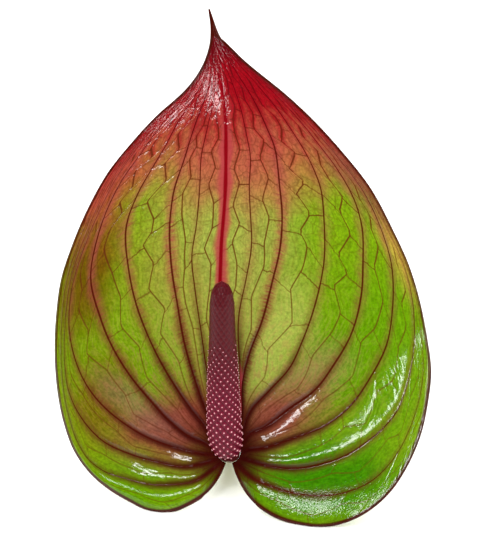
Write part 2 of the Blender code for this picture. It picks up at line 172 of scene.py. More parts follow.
# The fine grid of the blade: columns from rib to rib, and rows from the neck to the tip.
COLUMNS_A_RIB = 12
BLADE_ROWS = 170
ROW_EASE = 0.6

# The half width of each main vein in its middle run, and how far its stain shows in the tissue.
VEIN_HALF_WIDTHS = {
    0: 0.5, 1: 0.2, 2: 0.34, 3: 0.26, 4: 0.32, 5: 0.3, 6: 0.26, 7: 0.2,
    -1: 0.2, -2: 0.34, -3: 0.3, -4: 0.32, -5: 0.26, -6: 0.22, -7: 0.18,
}
VEIN_STAINS = {
    0: 1.0, 1: 0.45, 2: 1.0, 3: 0.5, 4: 0.6, 5: 0.6, 6: 0.6, 7: 0.4,
    -1: 0.4, -2: 1.0, -3: 0.8, -4: 0.9, -5: 0.7, -6: 0.6, -7: 0.4,
}

# The net: a fine vein runs halfway between two main ones and bends where it sends off a cross
# vein, to one side and then the other. These bends lie closer together towards the tip.
BEND_STEP_BASE = 11.0
BEND_STEP_TIP = 4.6
BEND_FIRST = (4, 9)
BEND_SPREAD = (0.65, 1.35)
BEND_TURNS_OVER = 0.85
BEND_SWING = 0.15
SWING_SPREAD = (0.4, 1.3)
CROSS_LEAN = 0.75
CROSS_REACH = 0.8
SWING_RUN = (0, 50)
SWING_AT_NECK = 0.4

# The depth of the grooves and the height of the ridges behind them, for a vein of this half width.
FULL_VEIN = 0.5
VEIN_GROOVE = 0.4
FINE_GROOVE = 0.07
VEIN_RIDGE = 0.5
FINE_RIDGE = 0.042
FINE_GROOVE_WIDTH = 0.5

# How much of its width and stain a vein has at the neck and at the tip, and where it gains or
# loses the rest: from the neck in millimetres, and as a share of the way to the tip.
VEIN_AT_NECK = 0.45
VEIN_NECK_RUN = (0, 14)
VEIN_AT_TIP = 0.4
VEIN_TIP_RUN = (0.4, 0.5)


def smooth_curve(points, shares):
    """Points at these shares of the length of one smooth curve through the given points."""
    points = np.array(points, float)
    moves = np.diff(points, axis=0)
    steps = np.linalg.norm(moves, axis=1)[:, None]
    slopes = moves / steps
    inner = (slopes[:-1] * steps[1:] + slopes[1:] * steps[:-1]) / (steps[:-1] + steps[1:])
    tangents = np.vstack([slopes[:1], inner, slopes[-1:]])
    t = np.linspace(0, 1, 16, endpoint=False)[:, None]
    runs = []
    for i, step in enumerate(steps):
        start, end = points[i], points[i + 1]
        leave, arrive = tangents[i] * step, tangents[i + 1] * step
        runs.append(
            start * (2 * t**3 - 3 * t**2 + 1)
            + leave * (t**3 - 2 * t**2 + t)
            + end * (3 * t**2 - 2 * t**3)
            + arrive * (t**3 - t**2)
        )
    dense = np.vstack(runs + [points[-1:]])
    pieces = np.linalg.norm(np.diff(dense, axis=0), axis=1)
    travelled = np.concatenate([[0], np.cumsum(pieces)])
    wanted = np.asarray(shares) * travelled[-1]
    return np.column_stack([np.interp(wanted, travelled, axis) for axis in dense.T])


def ways_across(curve):
    """Two ways across a curve at each of its points, at right angles to it and to each other."""
    heading = np.gradient(curve, axis=0)
    heading /= np.linalg.norm(heading, axis=1)[:, None]
    side = np.cross(heading, (1, 0, 0))
    side /= np.linalg.norm(side, axis=1)[:, None]
    return side, np.cross(side, heading)


def smooth_step(value):
    """From 0 at 0 to 1 at 1, easing in and out, and level before and after."""
    value = np.clip(value, 0, 1)
    return value * value * (3 - 2 * value)


def come_in(value, run):
    """From 0 at the start of a run to 1 at its end; the run is a start and a length."""
    start, length = run
    return smooth_step((value - start) / length)


def collar_point(number):
    """Where a rib starts on the neck's ring: 0 is the midrib, and plus and minus 8 are the rims."""
    turn = math.pi / 2 - number * COLLAR_HALF_TURN / MARGIN
    return (
        NECK[0] + COLLAR_RADIUS * math.cos(turn),
        NECK[1] + COLLAR_RADIUS * math.sin(turn),
    )


def tip_point(number):
    """Where a rib ends, on the tip's narrow end."""
    return (TIP[0] + TIP_HALF_WIDTH * number / MARGIN, TIP[1])


def whole_rib(number, traced):
    """A rib's points from the neck's ring, through those traced, to the tip."""
    return [collar_point(number), *traced, tip_point(number)]


def reach_at(curve, along):
    """How far across a rib is at this height up the blade, on its run up to the tip."""
    rising = curve[np.argmin(curve[:, 1]):]
    return np.interp(along, rising[:, 1], rising[:, 0])


def ribs(shares):
    """The 17 ribs of the blade, rim to rim, each at the same shares of its own length."""
    dense = np.linspace(0, 1, 400)
    middle = smooth_curve(whole_rib(0, MIDRIB), dense)
    found = {0: smooth_curve(whole_rib(0, MIDRIB), shares)}
    for sign, rim, veins in ((1, RIGHT_RIM, RIGHT_VEINS), (-1, LEFT_RIM, LEFT_VEINS)):
        edge = smooth_curve(whole_rib(sign * MARGIN, rim), dense)
        found[sign * MARGIN] = smooth_curve(whole_rib(sign * MARGIN, rim), shares)
        for number, (traced, share_at_tip) in enumerate(zip(veins, SHARES_AT_TIP), 1):
            across, start = traced[-1]
            inner, outer = reach_at(middle, start), reach_at(edge, start)
            share_at_start = (across - inner) / (outer - inner)
            upper = []
            for along in np.arange(start + GATHER_STEP, TIP[1] - GATHER_STEP / 2, GATHER_STEP):
                way_up = (along - start) / (TIP[1] - start)
                share = share_at_start + (share_at_tip - share_at_start) * way_up
                inner, outer = reach_at(middle, along), reach_at(edge, along)
                upper.append((inner + share * (outer - inner), along))
            points = whole_rib(sign * number, [*traced, *upper])
            found[sign * number] = smooth_curve(points, shares)
    return np.array([found[number] for number in range(-MARGIN, MARGIN + 1)])


def lobe_rise(across, along, lobe):
    """How far a lobe cups forwards here: its slope eases in with the distance from a centre."""
    centre_across, centre_along, start, slope, ease = lobe
    past = np.clip(np.hypot(across - centre_across, along - centre_along) - start, 0, None)
    return slope * (past - ease * (1 - np.exp(-past / ease)))


def rim_roll(inset, across, along):
    """How far the rim rolls back at this distance in from it, more broadly on the lobes."""
    up_the_side = come_in(along, ROLL_SIDE_RUN)
    depth, width = (
        lobe + (side - lobe) * up_the_side for side, lobe in zip(SIDE_ROLL, LOBE_ROLL)
    )
    outside = come_in(across, OUTSIDE_ACROSS_RUN) * come_in(along, OUTSIDE_ALONG_RUN)
    depth *= 1 - OUTSIDE_STRAIGHTER * outside
    return depth * np.exp(-inset / width)


def face_height(across, along):
    """How far the face stands out of the flat at this place, before its panels are puffed."""
    from_middle = np.abs(across) / HALF_WIDTH
    right = 0.5 + 0.5 * np.tanh(across / LOBE_BLEND)
    lobes = right * lobe_rise(across, along, RIGHT_LOBE)
    lobes += (1 - right) * lobe_rise(across, along, LEFT_LOBE)
    lobes *= come_in(np.abs(across), LOBE_ACROSS_RUN) * come_in(along, LOBE_ALONG_RUN)
    cup = SIDE_CUP * from_middle**2.5 * come_in(along, CUP_RUN)
    fold = BACK_FOLD * from_middle**2 * come_in(along, FOLD_RUN)
    past = np.clip(along - TIP_BEND_START, 0, None)
    bend = TIP_SLOPE * (past - TIP_BEND_RUN * (1 - np.exp(-past / TIP_BEND_RUN)))
    ripple = RIPPLE * from_middle**2 * np.sin(along / RIPPLE_STEP + np.sign(across))
    off_midrib = across - TIP[0] * come_in(along, TIP_SHIFT_RUN)
    ridge = TIP_RIDGE * (1 - np.exp(-((off_midrib / TIP_RIDGE_WIDTH) ** 2)))
    ridge *= come_in(along, RIDGE_RUN)
    return lobes + cup - fold - bend - ridge + ripple


class Blade:
    """The blade's face on a fine grid: its points, and for each point what its veins are doing."""

    def __init__(self):
        nominal = np.arange(-MARGIN * COLUMNS_A_RIB, MARGIN * COLUMNS_A_RIB + 1) / COLUMNS_A_RIB
        evenly = np.linspace(0, 1, BLADE_ROWS + 1)
        rows = evenly - ROW_EASE * np.sin(2 * math.pi * evenly) / (2 * math.pi)
        bones = ribs(rows)
        self.shape = (len(nominal), len(rows))
        self.nominal, self.rows = np.meshgrid(nominal, rows, indexing="ij")

        steps = np.linalg.norm(np.diff(bones, axis=1), axis=2)
        rib_travel = np.concatenate([np.zeros((len(bones), 1)), np.cumsum(steps, axis=1)], axis=1)
        whole = np.arange(-MARGIN, MARGIN + 1)
        self.travel = np.array([np.interp(nominal, whole, row) for row in rib_travel.T]).T

        self.make_net()
        columns = self.nominal + self.stray()
        below = np.clip(np.floor(columns).astype(int), -MARGIN, MARGIN - 1)
        part = columns - below
        row_number = np.broadcast_to(np.arange(len(rows)), self.shape)
        left = bones[below + MARGIN, row_number]
        right = bones[below + MARGIN + 1, row_number]
        self.flat = left + (right - left) * part[..., None]
        self.span = np.linalg.norm(right - left, axis=2)
        self.rim = bones[np.where(columns > 0, 2 * MARGIN, 0), row_number]
        self.neck_mm = np.linalg.norm(self.flat - np.array(NECK), axis=2) - COLLAR_RADIUS
        self.crown = 4 * part * (1 - part)
        plateau = below == PLATEAU_VEIN
        self.crown[plateau] = PLATEAU_RISE * (1 - (2 * part[plateau] - 1) ** 4)
        self.measure_veins()

    def make_net(self):
        """Where the fine vein of each space between main veins bends, and which way it branches."""
        random = np.random.default_rng(11)
        self.bends = []
        for space in range(2 * MARGIN):
            middle = space * COLUMNS_A_RIB + COLUMNS_A_RIB // 2
            length = self.travel[middle, -1]
            places, sides = [random.uniform(*BEND_FIRST)], [random.choice((-1, 1))]
            while places[-1] < length:
                way_up = places[-1] / length
                step = BEND_STEP_BASE + (BEND_STEP_TIP - BEND_STEP_BASE) * smooth_step(way_up / 0.7)
                places.append(places[-1] + step * random.uniform(*BEND_SPREAD))
                sides.append(-sides[-1] if random.uniform() < BEND_TURNS_OVER else sides[-1])
            leans = random.uniform(-CROSS_LEAN, CROSS_LEAN, len(places))
            self.bends.append((np.array(places), np.array(sides), leans))

    def stray(self):
        """How far the columns shift so that the middle one of each space follows its fine vein."""
        random = np.random.default_rng(4)
        shifts = np.zeros(self.shape)
        for space, (places, sides, _) in enumerate(self.bends):
            columns = slice(space * COLUMNS_A_RIB, (space + 1) * COLUMNS_A_RIB + 1)
            travel = self.travel[columns]
            swings = BEND_SWING * sides * random.uniform(*SWING_SPREAD, len(places))
            swings *= SWING_AT_NECK + (1 - SWING_AT_NECK) * come_in(places, SWING_RUN)
            swing = np.interp(travel, places, swings)
            shifts[columns] += swing * np.sin(math.pi * self.nominal[columns]) ** 2
        return shifts

    def measure_veins(self):
        """How far each point is from the veins and the rim, and how wide and dark its vein is."""
        nearest = np.rint(self.nominal).astype(int)
        off_main = np.abs(self.nominal - nearest)
        self.main_mm = off_main * self.span
        self.fine_mm = np.abs(off_main - 0.5) * self.span
        strength = VEIN_AT_NECK + (1 - VEIN_AT_NECK) * come_in(self.neck_mm, VEIN_NECK_RUN)
        strength *= 1 - (1 - VEIN_AT_TIP) * come_in(self.rows, VEIN_TIP_RUN)
        self.vein_half, self.stain = (
            np.vectorize(lambda number: table.get(number, at_rim))(nearest) * strength
            for table, at_rim in ((VEIN_HALF_WIDTHS, 0.2), (VEIN_STAINS, 0.0))
        )
        self.mid_mm = np.abs(self.nominal) * self.span
        self.rim_mm = np.linalg.norm(self.flat - self.rim, axis=2)
        # The rim's dark line follows the straight way to the nearest point of either rim.
        edge = np.vstack([self.flat[0], self.flat[-1]])
        self.edge_mm = np.array([
            np.linalg.norm(column[:, None] - edge, axis=2).min(axis=1) for column in self.flat
        ])

    def cross_veins(self, strip):
        """For one half of a space: the distance from a cross vein to the next, and a count of them.

        The count is whole on a cross vein, which runs from a bend of the fine vein to the main one.
        """
        places, sides, leans = self.bends[strip // 2]
        side = -1 if strip % 2 == 0 else 1
        mine = sides == side
        first = strip * COLUMNS_A_RIB // 2
        half = COLUMNS_A_RIB // 2
        inside = np.arange(half + 1) / half
        outwards = 1 - inside if side == -1 else inside
        found = []
        for column, out in enumerate(outwards):
            span = self.span[first + column].mean()
            knots = places[mine] + leans[mine] * out * span * CROSS_REACH
            knots = np.maximum.accumulate(knots)
            travel = self.travel[first + column]
            count = np.interp(travel, knots, np.arange(len(knots)) + 1.0)
            before = travel < knots[0]
            count[before] = 1 - (knots[0] - travel[before]) / BEND_STEP_BASE
            found.append((1 / np.maximum(np.gradient(count, travel), 0.02), count))
        return np.array(found)

    def faded(self, amount, fades):
        """An amount as it fades away from the neck, up the blade and past a vein on the right."""
        measures = (self.neck_mm, self.flat[..., 1], self.nominal)
        for measure, (start, length, lost) in zip(measures, fades):
            amount = amount * (1 - lost * come_in(measure, (start, length)))
        return amount

    def smooth_face(self):
        """How high the face stands without its veins: its broad form, its panels and its rim."""
        across, along = self.flat[..., 0], self.flat[..., 1]
        puff = np.minimum(PUFF_SHARE * self.span, PUFF_MOST) * self.crown
        puff = self.faded(puff, PUFF_FADES)
        roll = rim_roll(self.rim_mm, across, along)
        clear = come_in(self.neck_mm, FACE_FROM_NECK)
        return (face_height(across, along) + puff - roll) * clear

    def outward(self):
        """Which way the face looks, read from its broad form alone."""
        across, along = self.flat[..., 0], self.flat[..., 1]
        step = 0.5
        slope_across = face_height(across + step, along) - face_height(across - step, along)
        slope_along = face_height(across, along + step) - face_height(across, along - step)
        clear = come_in(self.neck_mm, FACE_FROM_NECK)
        slopes = [-slope / (2 * step) * clear for slope in (slope_across, slope_along)]
        out = np.dstack([*slopes, np.ones(self.shape)])
        return out / np.linalg.norm(out, axis=2, keepdims=True)

    def faces(self):
        """The points of the face and of the back, in the bloom's frame."""
        smooth = np.dstack([self.flat, self.smooth_face()])
        out = self.outward()
        clear = come_in(self.neck_mm, GROOVE_FROM_NECK) * come_in(self.rim_mm, GROOVE_FROM_RIM)
        fine = np.exp(-((self.fine_mm / FINE_GROOVE_WIDTH) ** 2))
        main = np.exp(-((self.main_mm / (1.1 * self.vein_half + 0.1)) ** 2))
        main *= self.vein_half / FULL_VEIN
        depth = self.faded(VEIN_GROOVE * main + FINE_GROOVE * fine, GROOVE_FADES)
        ridge = VEIN_RIDGE * main + FINE_RIDGE * fine
        front = smooth - out * (depth * clear)[..., None]
        back = smooth - out * (SPATHE_THICK + ridge * clear)[..., None]
        return front, back


def to_world(points):
    """Points in the bloom's frame, as places in metres that are nowhere below the surface."""
    turn = np.array(BLOOM.to_3x3())
    placed = points @ turn.T * MM + np.array(BLOOM.translation)
    placed[..., 2] = np.maximum(placed[..., 2], 0)
    return placed


def linear_colour(hex_colour):
    """A colour in linear light, from its sRGB hex value."""
    channels = [int(hex_colour[i:i + 2], 16) / 255 for i in (0, 2, 4)]
    linear = [c / 12.92 if c <= 0.04045 else ((c + 0.055) / 1.055) ** 2.4 for c in channels]
    return (*linear, 1)


def add_node(tree, kind, settings, inputs, out=0):
    """Adds a node with its settings, sets or links its inputs, and gives back one output."""
    node = tree.nodes.new(kind)
    for name, value in settings.items():
        setattr(node, name, value)
    for socket, value in inputs.items():
        if isinstance(value, bpy.types.NodeSocket):
            tree.links.new(value, node.inputs[socket])
        else:
            node.inputs[socket].default_value = value
    return node.outputs[out]


# Settings that many nodes share.
SOFT = {"interpolation_type": "SMOOTHSTEP"}
COLOURS = {"data_type": "RGBA"}
SHADE = {"data_type": "RGBA", "blend_type": "MULTIPLY"}
PLUS = {"operation": "ADD"}
TIMES = {"operation": "MULTIPLY"}
TIMES_PLUS = {"operation": "MULTIPLY_ADD"}


def new_material(name, roughness, coat=0.0, coat_roughness=0.1, specular=0.1):
    """A material with its gloss set. Plant skin has little shine of its own under its coat of wax."""
    made = bpy.data.materials.new(name)
    made.use_nodes = True
    shader = made.node_tree.nodes["Principled BSDF"]
    for socket, value in (
        ("Roughness", roughness), ("Coat Weight", coat), ("Coat Roughness", coat_roughness),
        ("Specular IOR Level", specular),
    ):
        shader.inputs[socket].default_value = value
    return made, made.node_tree, shader


def lay_over(tree, colour, layers):
    """Lays soft layers over a colour, and gives back the new colour and each layer's share.

    A layer says its name, what it follows, where it starts and where it is full, its strength and
    its shade, and then any shares that thin it.
    """
    shares = {}
    for name, follows, start, full, strength, shade, *thinned_by in layers:
        share = add_node(
            tree, "ShaderNodeMapRange", SOFT,
            {"Value": follows, "From Min": start, "From Max": full, "To Max": strength},
        )
        for other in thinned_by:
            share = add_node(tree, "ShaderNodeMath", TIMES, {0: share, 1: other})
        if isinstance(shade, str):
            shade = linear_colour(shade)
        colour = add_node(
            tree, "ShaderNodeMix", {**COLOURS, "label": name}, {0: share, 6: colour, 7: shade}, 2
        )
        shares[name] = share
    return colour, shares


def finish_object(name, bm, materials, node):
    """Makes a piece of the one body, in place of a solid's node."""
    mesh = bpy.data.meshes.new(name)
    bm.to_mesh(mesh)
    bm.free()
    mesh.shade_smooth()
    for each in materials:
        mesh.materials.append(each)
    piece = bpy.data.objects.new(name, mesh)
    bpy.context.scene.collection.objects.link(piece)
    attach(piece, "root")
    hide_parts(node)
    return piece


# The spathe's colours, each a soft patch of the blade: where it is and how far it reaches, in
# millimetres across and along, its turn in degrees, its colour and how much of it shows.
BASE_GREEN = "6A8C0A"
PATCHES = (
    ("deep green of the right side", (46, 34), (26, 40), 0, "538600", 0.8),
    ("deep green of the right lobe", (28, -6), (38, 20), 0, "337000", 1.0),
    ("green of the left lobe", (-28, -8), (24, 14), 0, "568400", 0.9),
    ("green of the left side", (-50, 34), (10, 20), 0, "5E8A00", 0.6),
    ("olive left side", (-40, 18), (16, 22), 0, "645806", 0.9),
    # The three pale patches of the middle are partly the tissue's paler green and partly painted
    # sheen: a broad soft reflection laid into their colour.
    ("pale middle and painted sheen", (0, 66), (30, 58), 0, "8A923A", 0.95),
    ("pale inner right and painted sheen", (14, 36), (12, 30), -26, "98A446", 0.8),
    ("pale inner left and painted sheen", (-16, 50), (12, 40), 12, "858E2E", 0.7),
    ("tan of the right margin", (54, 68), (6, 26), 22, "AE8A3A", 0.8),
    ("tan under the tip", (4, 98), (46, 24), 0, "9E4E38", 0.95),
    ("brown flush of the left side", (-45, 60), (13, 36), -12, "5A3E02", 0.92),
    ("rose flush of the left rim", (-36, 94), (13, 40), -36, "9A3A2C", 0.97),
    ("rose flush of the right rim", (39, 94), (9, 34), 36, "7A4630", 0.92),
    ("red-brown left of the base", (-16, 10), (28, 17), 12, "7A342A", 0.97),
    ("mauve flush of the right panels", (24, 24), (22, 11), 38, "8A6A48", 0.6),
    ("mauve flush of the left panels", (-28, 16), (24, 8), -36, "86685A", 0.3),
    ("brown flush over the left side", (-38, 78), (9, 20), -12, "84401A", 0.35),
    ("tan of the left panels", (-27, 63), (12, 30), -6, "8A6C2A", 0.25),
    ("red-brown right of the base", (14, 12), (24, 13), 22, "7A3A2E", 0.95),
)
# A patch starts at the first share of its reach and is full at the second, and clouds move both.
PATCH_RUN = (1.35, 0.45)
PATCH_CLOUDS = 0.5
RED_TIP = "8A0813"
DARK_TIP = "4A020C"
# How far, in millimetres, broad and small clouds shift the red's lower bounds, and how far in from
# the rim it reaches further down.
RED_CLOUDS = 14.0
RED_SPECKS = 16.0
RED_INWARDS = 16.0
NECK_MAROON = "3E0A08"

# What the blade measures at each of its points, for the face to read.
MEASURES = (
    "main_mm", "fine_mm", "mid_mm", "rim_mm", "edge_mm", "neck_mm", "vein_half", "stain",
)

# The face's noises: how many of their lumps a millimetre holds, and how finely they are broken up.
FACE_NOISES = (
    ("cloud", 0.09, 3.0), ("patchy", 0.4, 3.0), ("speckle", 1.3, 4.0), ("grain", 2.0, 1.0),
)
# The noises that are drawn out along the veins or across them.
TISSUE_NOISES = (("fibres", (5.0, 1.0, 1.0)), ("hairs", (0.9, 6.0, 1.0)))

# The face's ramps: what each follows, from where to where, and its values there. Places are in
# millimetres, and a noise runs from 0 to 1. Soft ramps ease in and out, and even ones are straight.
SOFT_RAMPS = (
    ("off_lobes", "along", 0.0, 26.0, 0.0, 1.0),
    ("upper", "along", 30.0, 75.0, 0.0, 1.0),
    ("lower", "along", 66.0, 44.0, 0.0, 1.0),
    ("in_tip", "along", 92.0, 118.0, 0.0, 1.0),
    ("below_tip", "along", 120.0, 96.0, 0.0, 1.0),
    ("up_to_tip", "along", 134.0, 118.0, 0.0, 1.0),
    ("at_right", "across", 30.0, 56.0, 0.0, 1.0),
    ("inner", "neck_mm", 75.0, 10.0, 0.0, 1.0),
    ("near_neck", "neck_mm", 64.0, 4.0, 0.0, 0.95),
    ("beside_vein", "off_vein", 1.4, 0.0, -2.0, 6.0),
    ("net_strength", "along", 0.0, 80.0, 0.5, 0.92),
    ("web_strength", "along", 30.0, 100.0, 0.06, 0.34),
    ("pillow", "off_link", 0.0, 1.4, 0.0, 0.05),
    ("small_pillow", "web", 0.0, 0.25, 0.0, 0.02),
)
EVEN_RAMPS = (
    ("red_reach", "across", -20.0, 25.0, 18.0, 7.0),
    ("rim_width", "across", -20.0, 30.0, 1.1, 1.35),
    ("speckle_shade", "speckle", 0.3, 0.7, 0.78, 1.2),
    ("fibre_shade", "fibres", 0.3, 0.7, 0.76, 1.17),
    ("hair_share", "hairs", 0.35, 0.65, 0.35, 1.1),
    ("link_share", "cloud", 0.35, 0.65, 0.55, 1.0),
    ("grain_height", "along", 85.0, 112.0, 0.022, 0.045),
    ("foot_grain", "along", -4.0, -13.0, 0.0, 0.045),
)


def bloom_place(tree):
    """The place on the bloom, in its own frame and in millimetres, with its two parts."""
    place = add_node(tree, "ShaderNodeTexCoord", {}, {}, "Object")
    bloom = add_node(
        tree, "ShaderNodeMapping", {"vector_type": "TEXTURE"},
        {0: place, 1: BLOOM.translation, 2: (LEAN, 0, 0), 3: (MM, MM, MM)},
    )
    parts = add_node(tree, "ShaderNodeSeparateXYZ", {}, {0: bloom}).node.outputs
    return {"bloom": bloom, "across": parts["X"], "along": parts["Y"]}


def face_measures(tree):
    """All that the face's looks follow: places, distances to the veins, noises, and their ramps."""
    found = bloom_place(tree)
    for name in MEASURES:
        found[name] = add_node(tree, "ShaderNodeAttribute", {"attribute_name": name}, {}, "Fac")
    for name, scale, detail in FACE_NOISES:
        found[name] = add_node(
            tree, "ShaderNodeTexNoise", {},
            {"Vector": found["bloom"], "Scale": scale, "Detail": detail},
        )
    tissue = add_node(tree, "ShaderNodeUVMap", {"uv_map": "tissue"}, {})
    for name, stretch in TISSUE_NOISES:
        stretched = add_node(tree, "ShaderNodeMapping", {}, {0: tissue, 3: stretch})
        found[name] = add_node(
            tree, "ShaderNodeTexNoise", {}, {"Vector": stretched, "Scale": 1.0, "Detail": 3.0}
        )
    found["web"] = add_node(
        tree, "ShaderNodeTexVoronoi", {"feature": "DISTANCE_TO_EDGE"},
        {"Vector": tissue, "Scale": 1.0},
    )
    found["off_vein"] = add_node(
        tree, "ShaderNodeMath", {"operation": "MINIMUM"},
        {0: found["main_mm"], 1: found["fine_mm"]},
    )

    # The count of the cross veins is whole on each, so its distance from there times their
    # spacing is the distance in millimetres.
    links = add_node(tree, "ShaderNodeUVMap", {"uv_map": "cross_veins"}, {})
    parts = add_node(tree, "ShaderNodeSeparateXYZ", {}, {0: links}).node.outputs
    count = add_node(
        tree, "ShaderNodeMath", TIMES_PLUS, {0: found["patchy"], 1: 0.1, 2: parts["Y"]}
    )
    off_count = add_node(tree, "ShaderNodeMath", {"operation": "PINGPONG"}, {0: count, 1: 0.5})
    found["off_link"] = add_node(tree, "ShaderNodeMath", TIMES, {0: off_count, 1: parts["X"]})

    for settings, ramps in ((SOFT, SOFT_RAMPS), ({}, EVEN_RAMPS)):
        for name, follows, start, end, first, last in ramps:
            found[name] = add_node(
                tree, "ShaderNodeMapRange", settings,
                {"Value": found[follows], "From Min": start, "From Max": end,
                 "To Min": first, "To Max": last},
            )
    return SimpleNamespace(**found)


def lay_patches(tree, face):
    """The soft patches of colour on the base green, with cloudy edges."""
    colour = linear_colour(BASE_GREEN)
    for name, centre, reach, turn, shade, strength in PATCHES:
        local = add_node(
            tree, "ShaderNodeMapping", {"vector_type": "TEXTURE", "label": name},
            {0: face.bloom, 1: (*centre, 0), 2: (0, 0, math.radians(turn)), 3: (*reach, 1e6)},
        )
        off = add_node(tree, "ShaderNodeVectorMath", {"operation": "LENGTH"}, {0: local}, "Value")
        off = add_node(
            tree, "ShaderNodeMath", TIMES_PLUS, {0: face.cloud, 1: PATCH_CLOUDS, 2: off}
        )
        colour = lay_over(tree, colour, [(name, off, *PATCH_RUN, strength, shade)])[0]
    return colour


def lay_red_tip(tree, face, colour):
    """The red tip: it fades down the blade, further along its left rim and beside the veins."""
    drop = add_node(
        tree, "ShaderNodeMapRange", {},
        {"Value": face.rim_mm, "From Max": RED_INWARDS, "To Min": face.red_reach, "To Max": 0.0},
    )
    height = add_node(tree, "ShaderNodeMath", PLUS, {0: face.along, 1: drop})
    height = add_node(tree, "ShaderNodeMath", PLUS, {0: height, 1: face.beside_vein})
    for noise, shift in ((face.cloud, RED_CLOUDS), (face.patchy, RED_SPECKS)):
        height = add_node(tree, "ShaderNodeMath", TIMES_PLUS, {0: noise, 1: shift, 2: height})
    height = add_node(tree, "ShaderNodeMath", PLUS, {0: height, 1: -RED_SPECKS / 2})
    return lay_over(tree, colour, (
        ("rust under the tip", height, 94.0, 120.0, 0.95, "96302A"),
        ("red tip", height, 106.0, 127.0, 1.0, RED_TIP),
        ("dark point", height, 134.0, 152.0, 1.0, DARK_TIP),
    ))[0]


def lay_mottling(tree, face, colour):
    """The fine mottling of the tissue, a millimetre and less, and its brown streaks at the neck."""
    for shade in (face.speckle_shade, face.fibre_shade):
        colour = add_node(tree, "ShaderNodeMix", SHADE, {0: 1.0, 6: colour, 7: shade}, 2)
    return lay_over(tree, colour, [
        ("brown streaks", face.fibres, 0.45, 0.62, 0.5, "8A4A3C", face.inner, face.off_lobes),
    ])[0]


def lay_veins(tree, face, colour):
    """The veins, their net and the stain beside them, with the dark rim and the red midrib, a pale rim
    band that is partly painted highlight, and painted shade in the grooves at the neck.
    """
    shades = {}
    for name, share, first, second in (
        ("vein", face.in_tip, "420C04", "4E0208"), ("net", face.in_tip, "54220C", "5C060C"),
        ("stain", face.upper, "6E2C20", "94403A"),
    ):
        shades[name] = add_node(
            tree, "ShaderNodeMix", COLOURS,
            {0: share, 6: linear_colour(first), 7: linear_colour(second)}, 2,
        )
    shades["stain"] = add_node(
        tree, "ShaderNodeMix", COLOURS,
        {0: face.in_tip, 6: shades["stain"], 7: linear_colour("74040E")}, 2,
    )
    link_strength = add_node(
        tree, "ShaderNodeMath", TIMES, {0: face.link_share, 1: face.net_strength}
    )
    outer = add_node(tree, "ShaderNodeMath", TIMES_PLUS, {0: face.vein_half, 1: 1.15, 2: 0.08})
    inner = add_node(tree, "ShaderNodeMath", TIMES, {0: outer, 1: 0.35})
    return lay_over(tree, colour, (
        # Painted highlight, in part: the pale band on the right rim stands for the broad sheen of the
        # rolled rim as well as its own paler tissue.
        ("pale border and painted highlight", face.rim_mm, 5.0, 1.2, 0.6, "C4C884", face.lower, face.off_lobes,
         face.at_right),
        ("stain", face.main_mm, 3.2, 0.2, 0.9, shades["stain"], face.stain, face.hair_share),
        # Painted shade, in part: this layer darkens the deep grooves of the main veins near the neck,
        # over the veins' own maroon.
        ("trough", face.main_mm, 2.1, 0.3, 1.0, "3A0A08", face.near_neck),
        ("cross veins", face.off_link, 0.34, 0.1, link_strength, shades["net"]),
        ("fine veins", face.fine_mm, 0.34, 0.1, face.net_strength, shades["net"]),
        ("faint web", face.web, 0.08, 0.01, face.web_strength, shades["net"]),
        ("main veins", face.main_mm, outer, inner, 0.95, shades["vein"]),
        ("neck", face.neck_mm, 15.0, 1.0, 0.9, NECK_MAROON),
        ("dark rim", face.edge_mm, face.rim_width, 0.75, 0.94, "3C0C04"),
        ("flush of the midrib", face.mid_mm, 3.0, 0.9, 0.85, "9C343A", face.below_tip),
        ("midrib", face.mid_mm, 0.85, 0.35, 0.97, "74020C", face.up_to_tip),
    ))


def puffed_skin(tree, face):
    """The relief of the skin: puffed cells, and a grain that is coarser on the tip and the foot."""
    relief = add_node(tree, "ShaderNodeMath", PLUS, {0: face.pillow, 1: face.small_pillow})
    height = add_node(tree, "ShaderNodeMath", PLUS, {0: face.grain_height, 1: face.foot_grain})
    grain = add_node(tree, "ShaderNodeMath", TIMES, {0: face.grain, 1: height})
    relief = add_node(tree, "ShaderNodeMath", PLUS, {0: relief, 1: grain})
    return add_node(
        tree, "ShaderNodeBump", {}, {"Height": relief, "Distance": MM, "Strength": 1.0}
    )


def spathe_face_material():
    """Living plant tissue under a waxy cuticle: it shines like lacquer over a soft, mottled green."""
    made, tree, shader = new_material("waxy_bract_face", 0.5, 0.6, 0.09, 0.0)
    face = face_measures(tree)
    colour = lay_patches(tree, face)
    colour = lay_red_tip(tree, face, colour)
    colour = lay_mottling(tree, face, colour)
    colour, shares = lay_veins(tree, face, colour)
    tree.links.new(colour, shader.inputs["Base Color"])

    # The wax lies thinner in the troughs of the veins.
    thin = add_node(
        tree, "ShaderNodeMath", {"operation": "MAXIMUM"},
        {0: shares["main veins"], 1: shares["trough"]},
    )
    wax = add_node(
        tree, "ShaderNodeMapRange", {}, {"Value": thin, "To Min": 0.6, "To Max": 0.12}
    )
    tree.links.new(wax, shader.inputs["Coat Weight"])
    bump = puffed_skin(tree, face)
    for socket in ("Normal", "Coat Normal"):
        tree.links.new(bump, shader.inputs[socket])
    return made


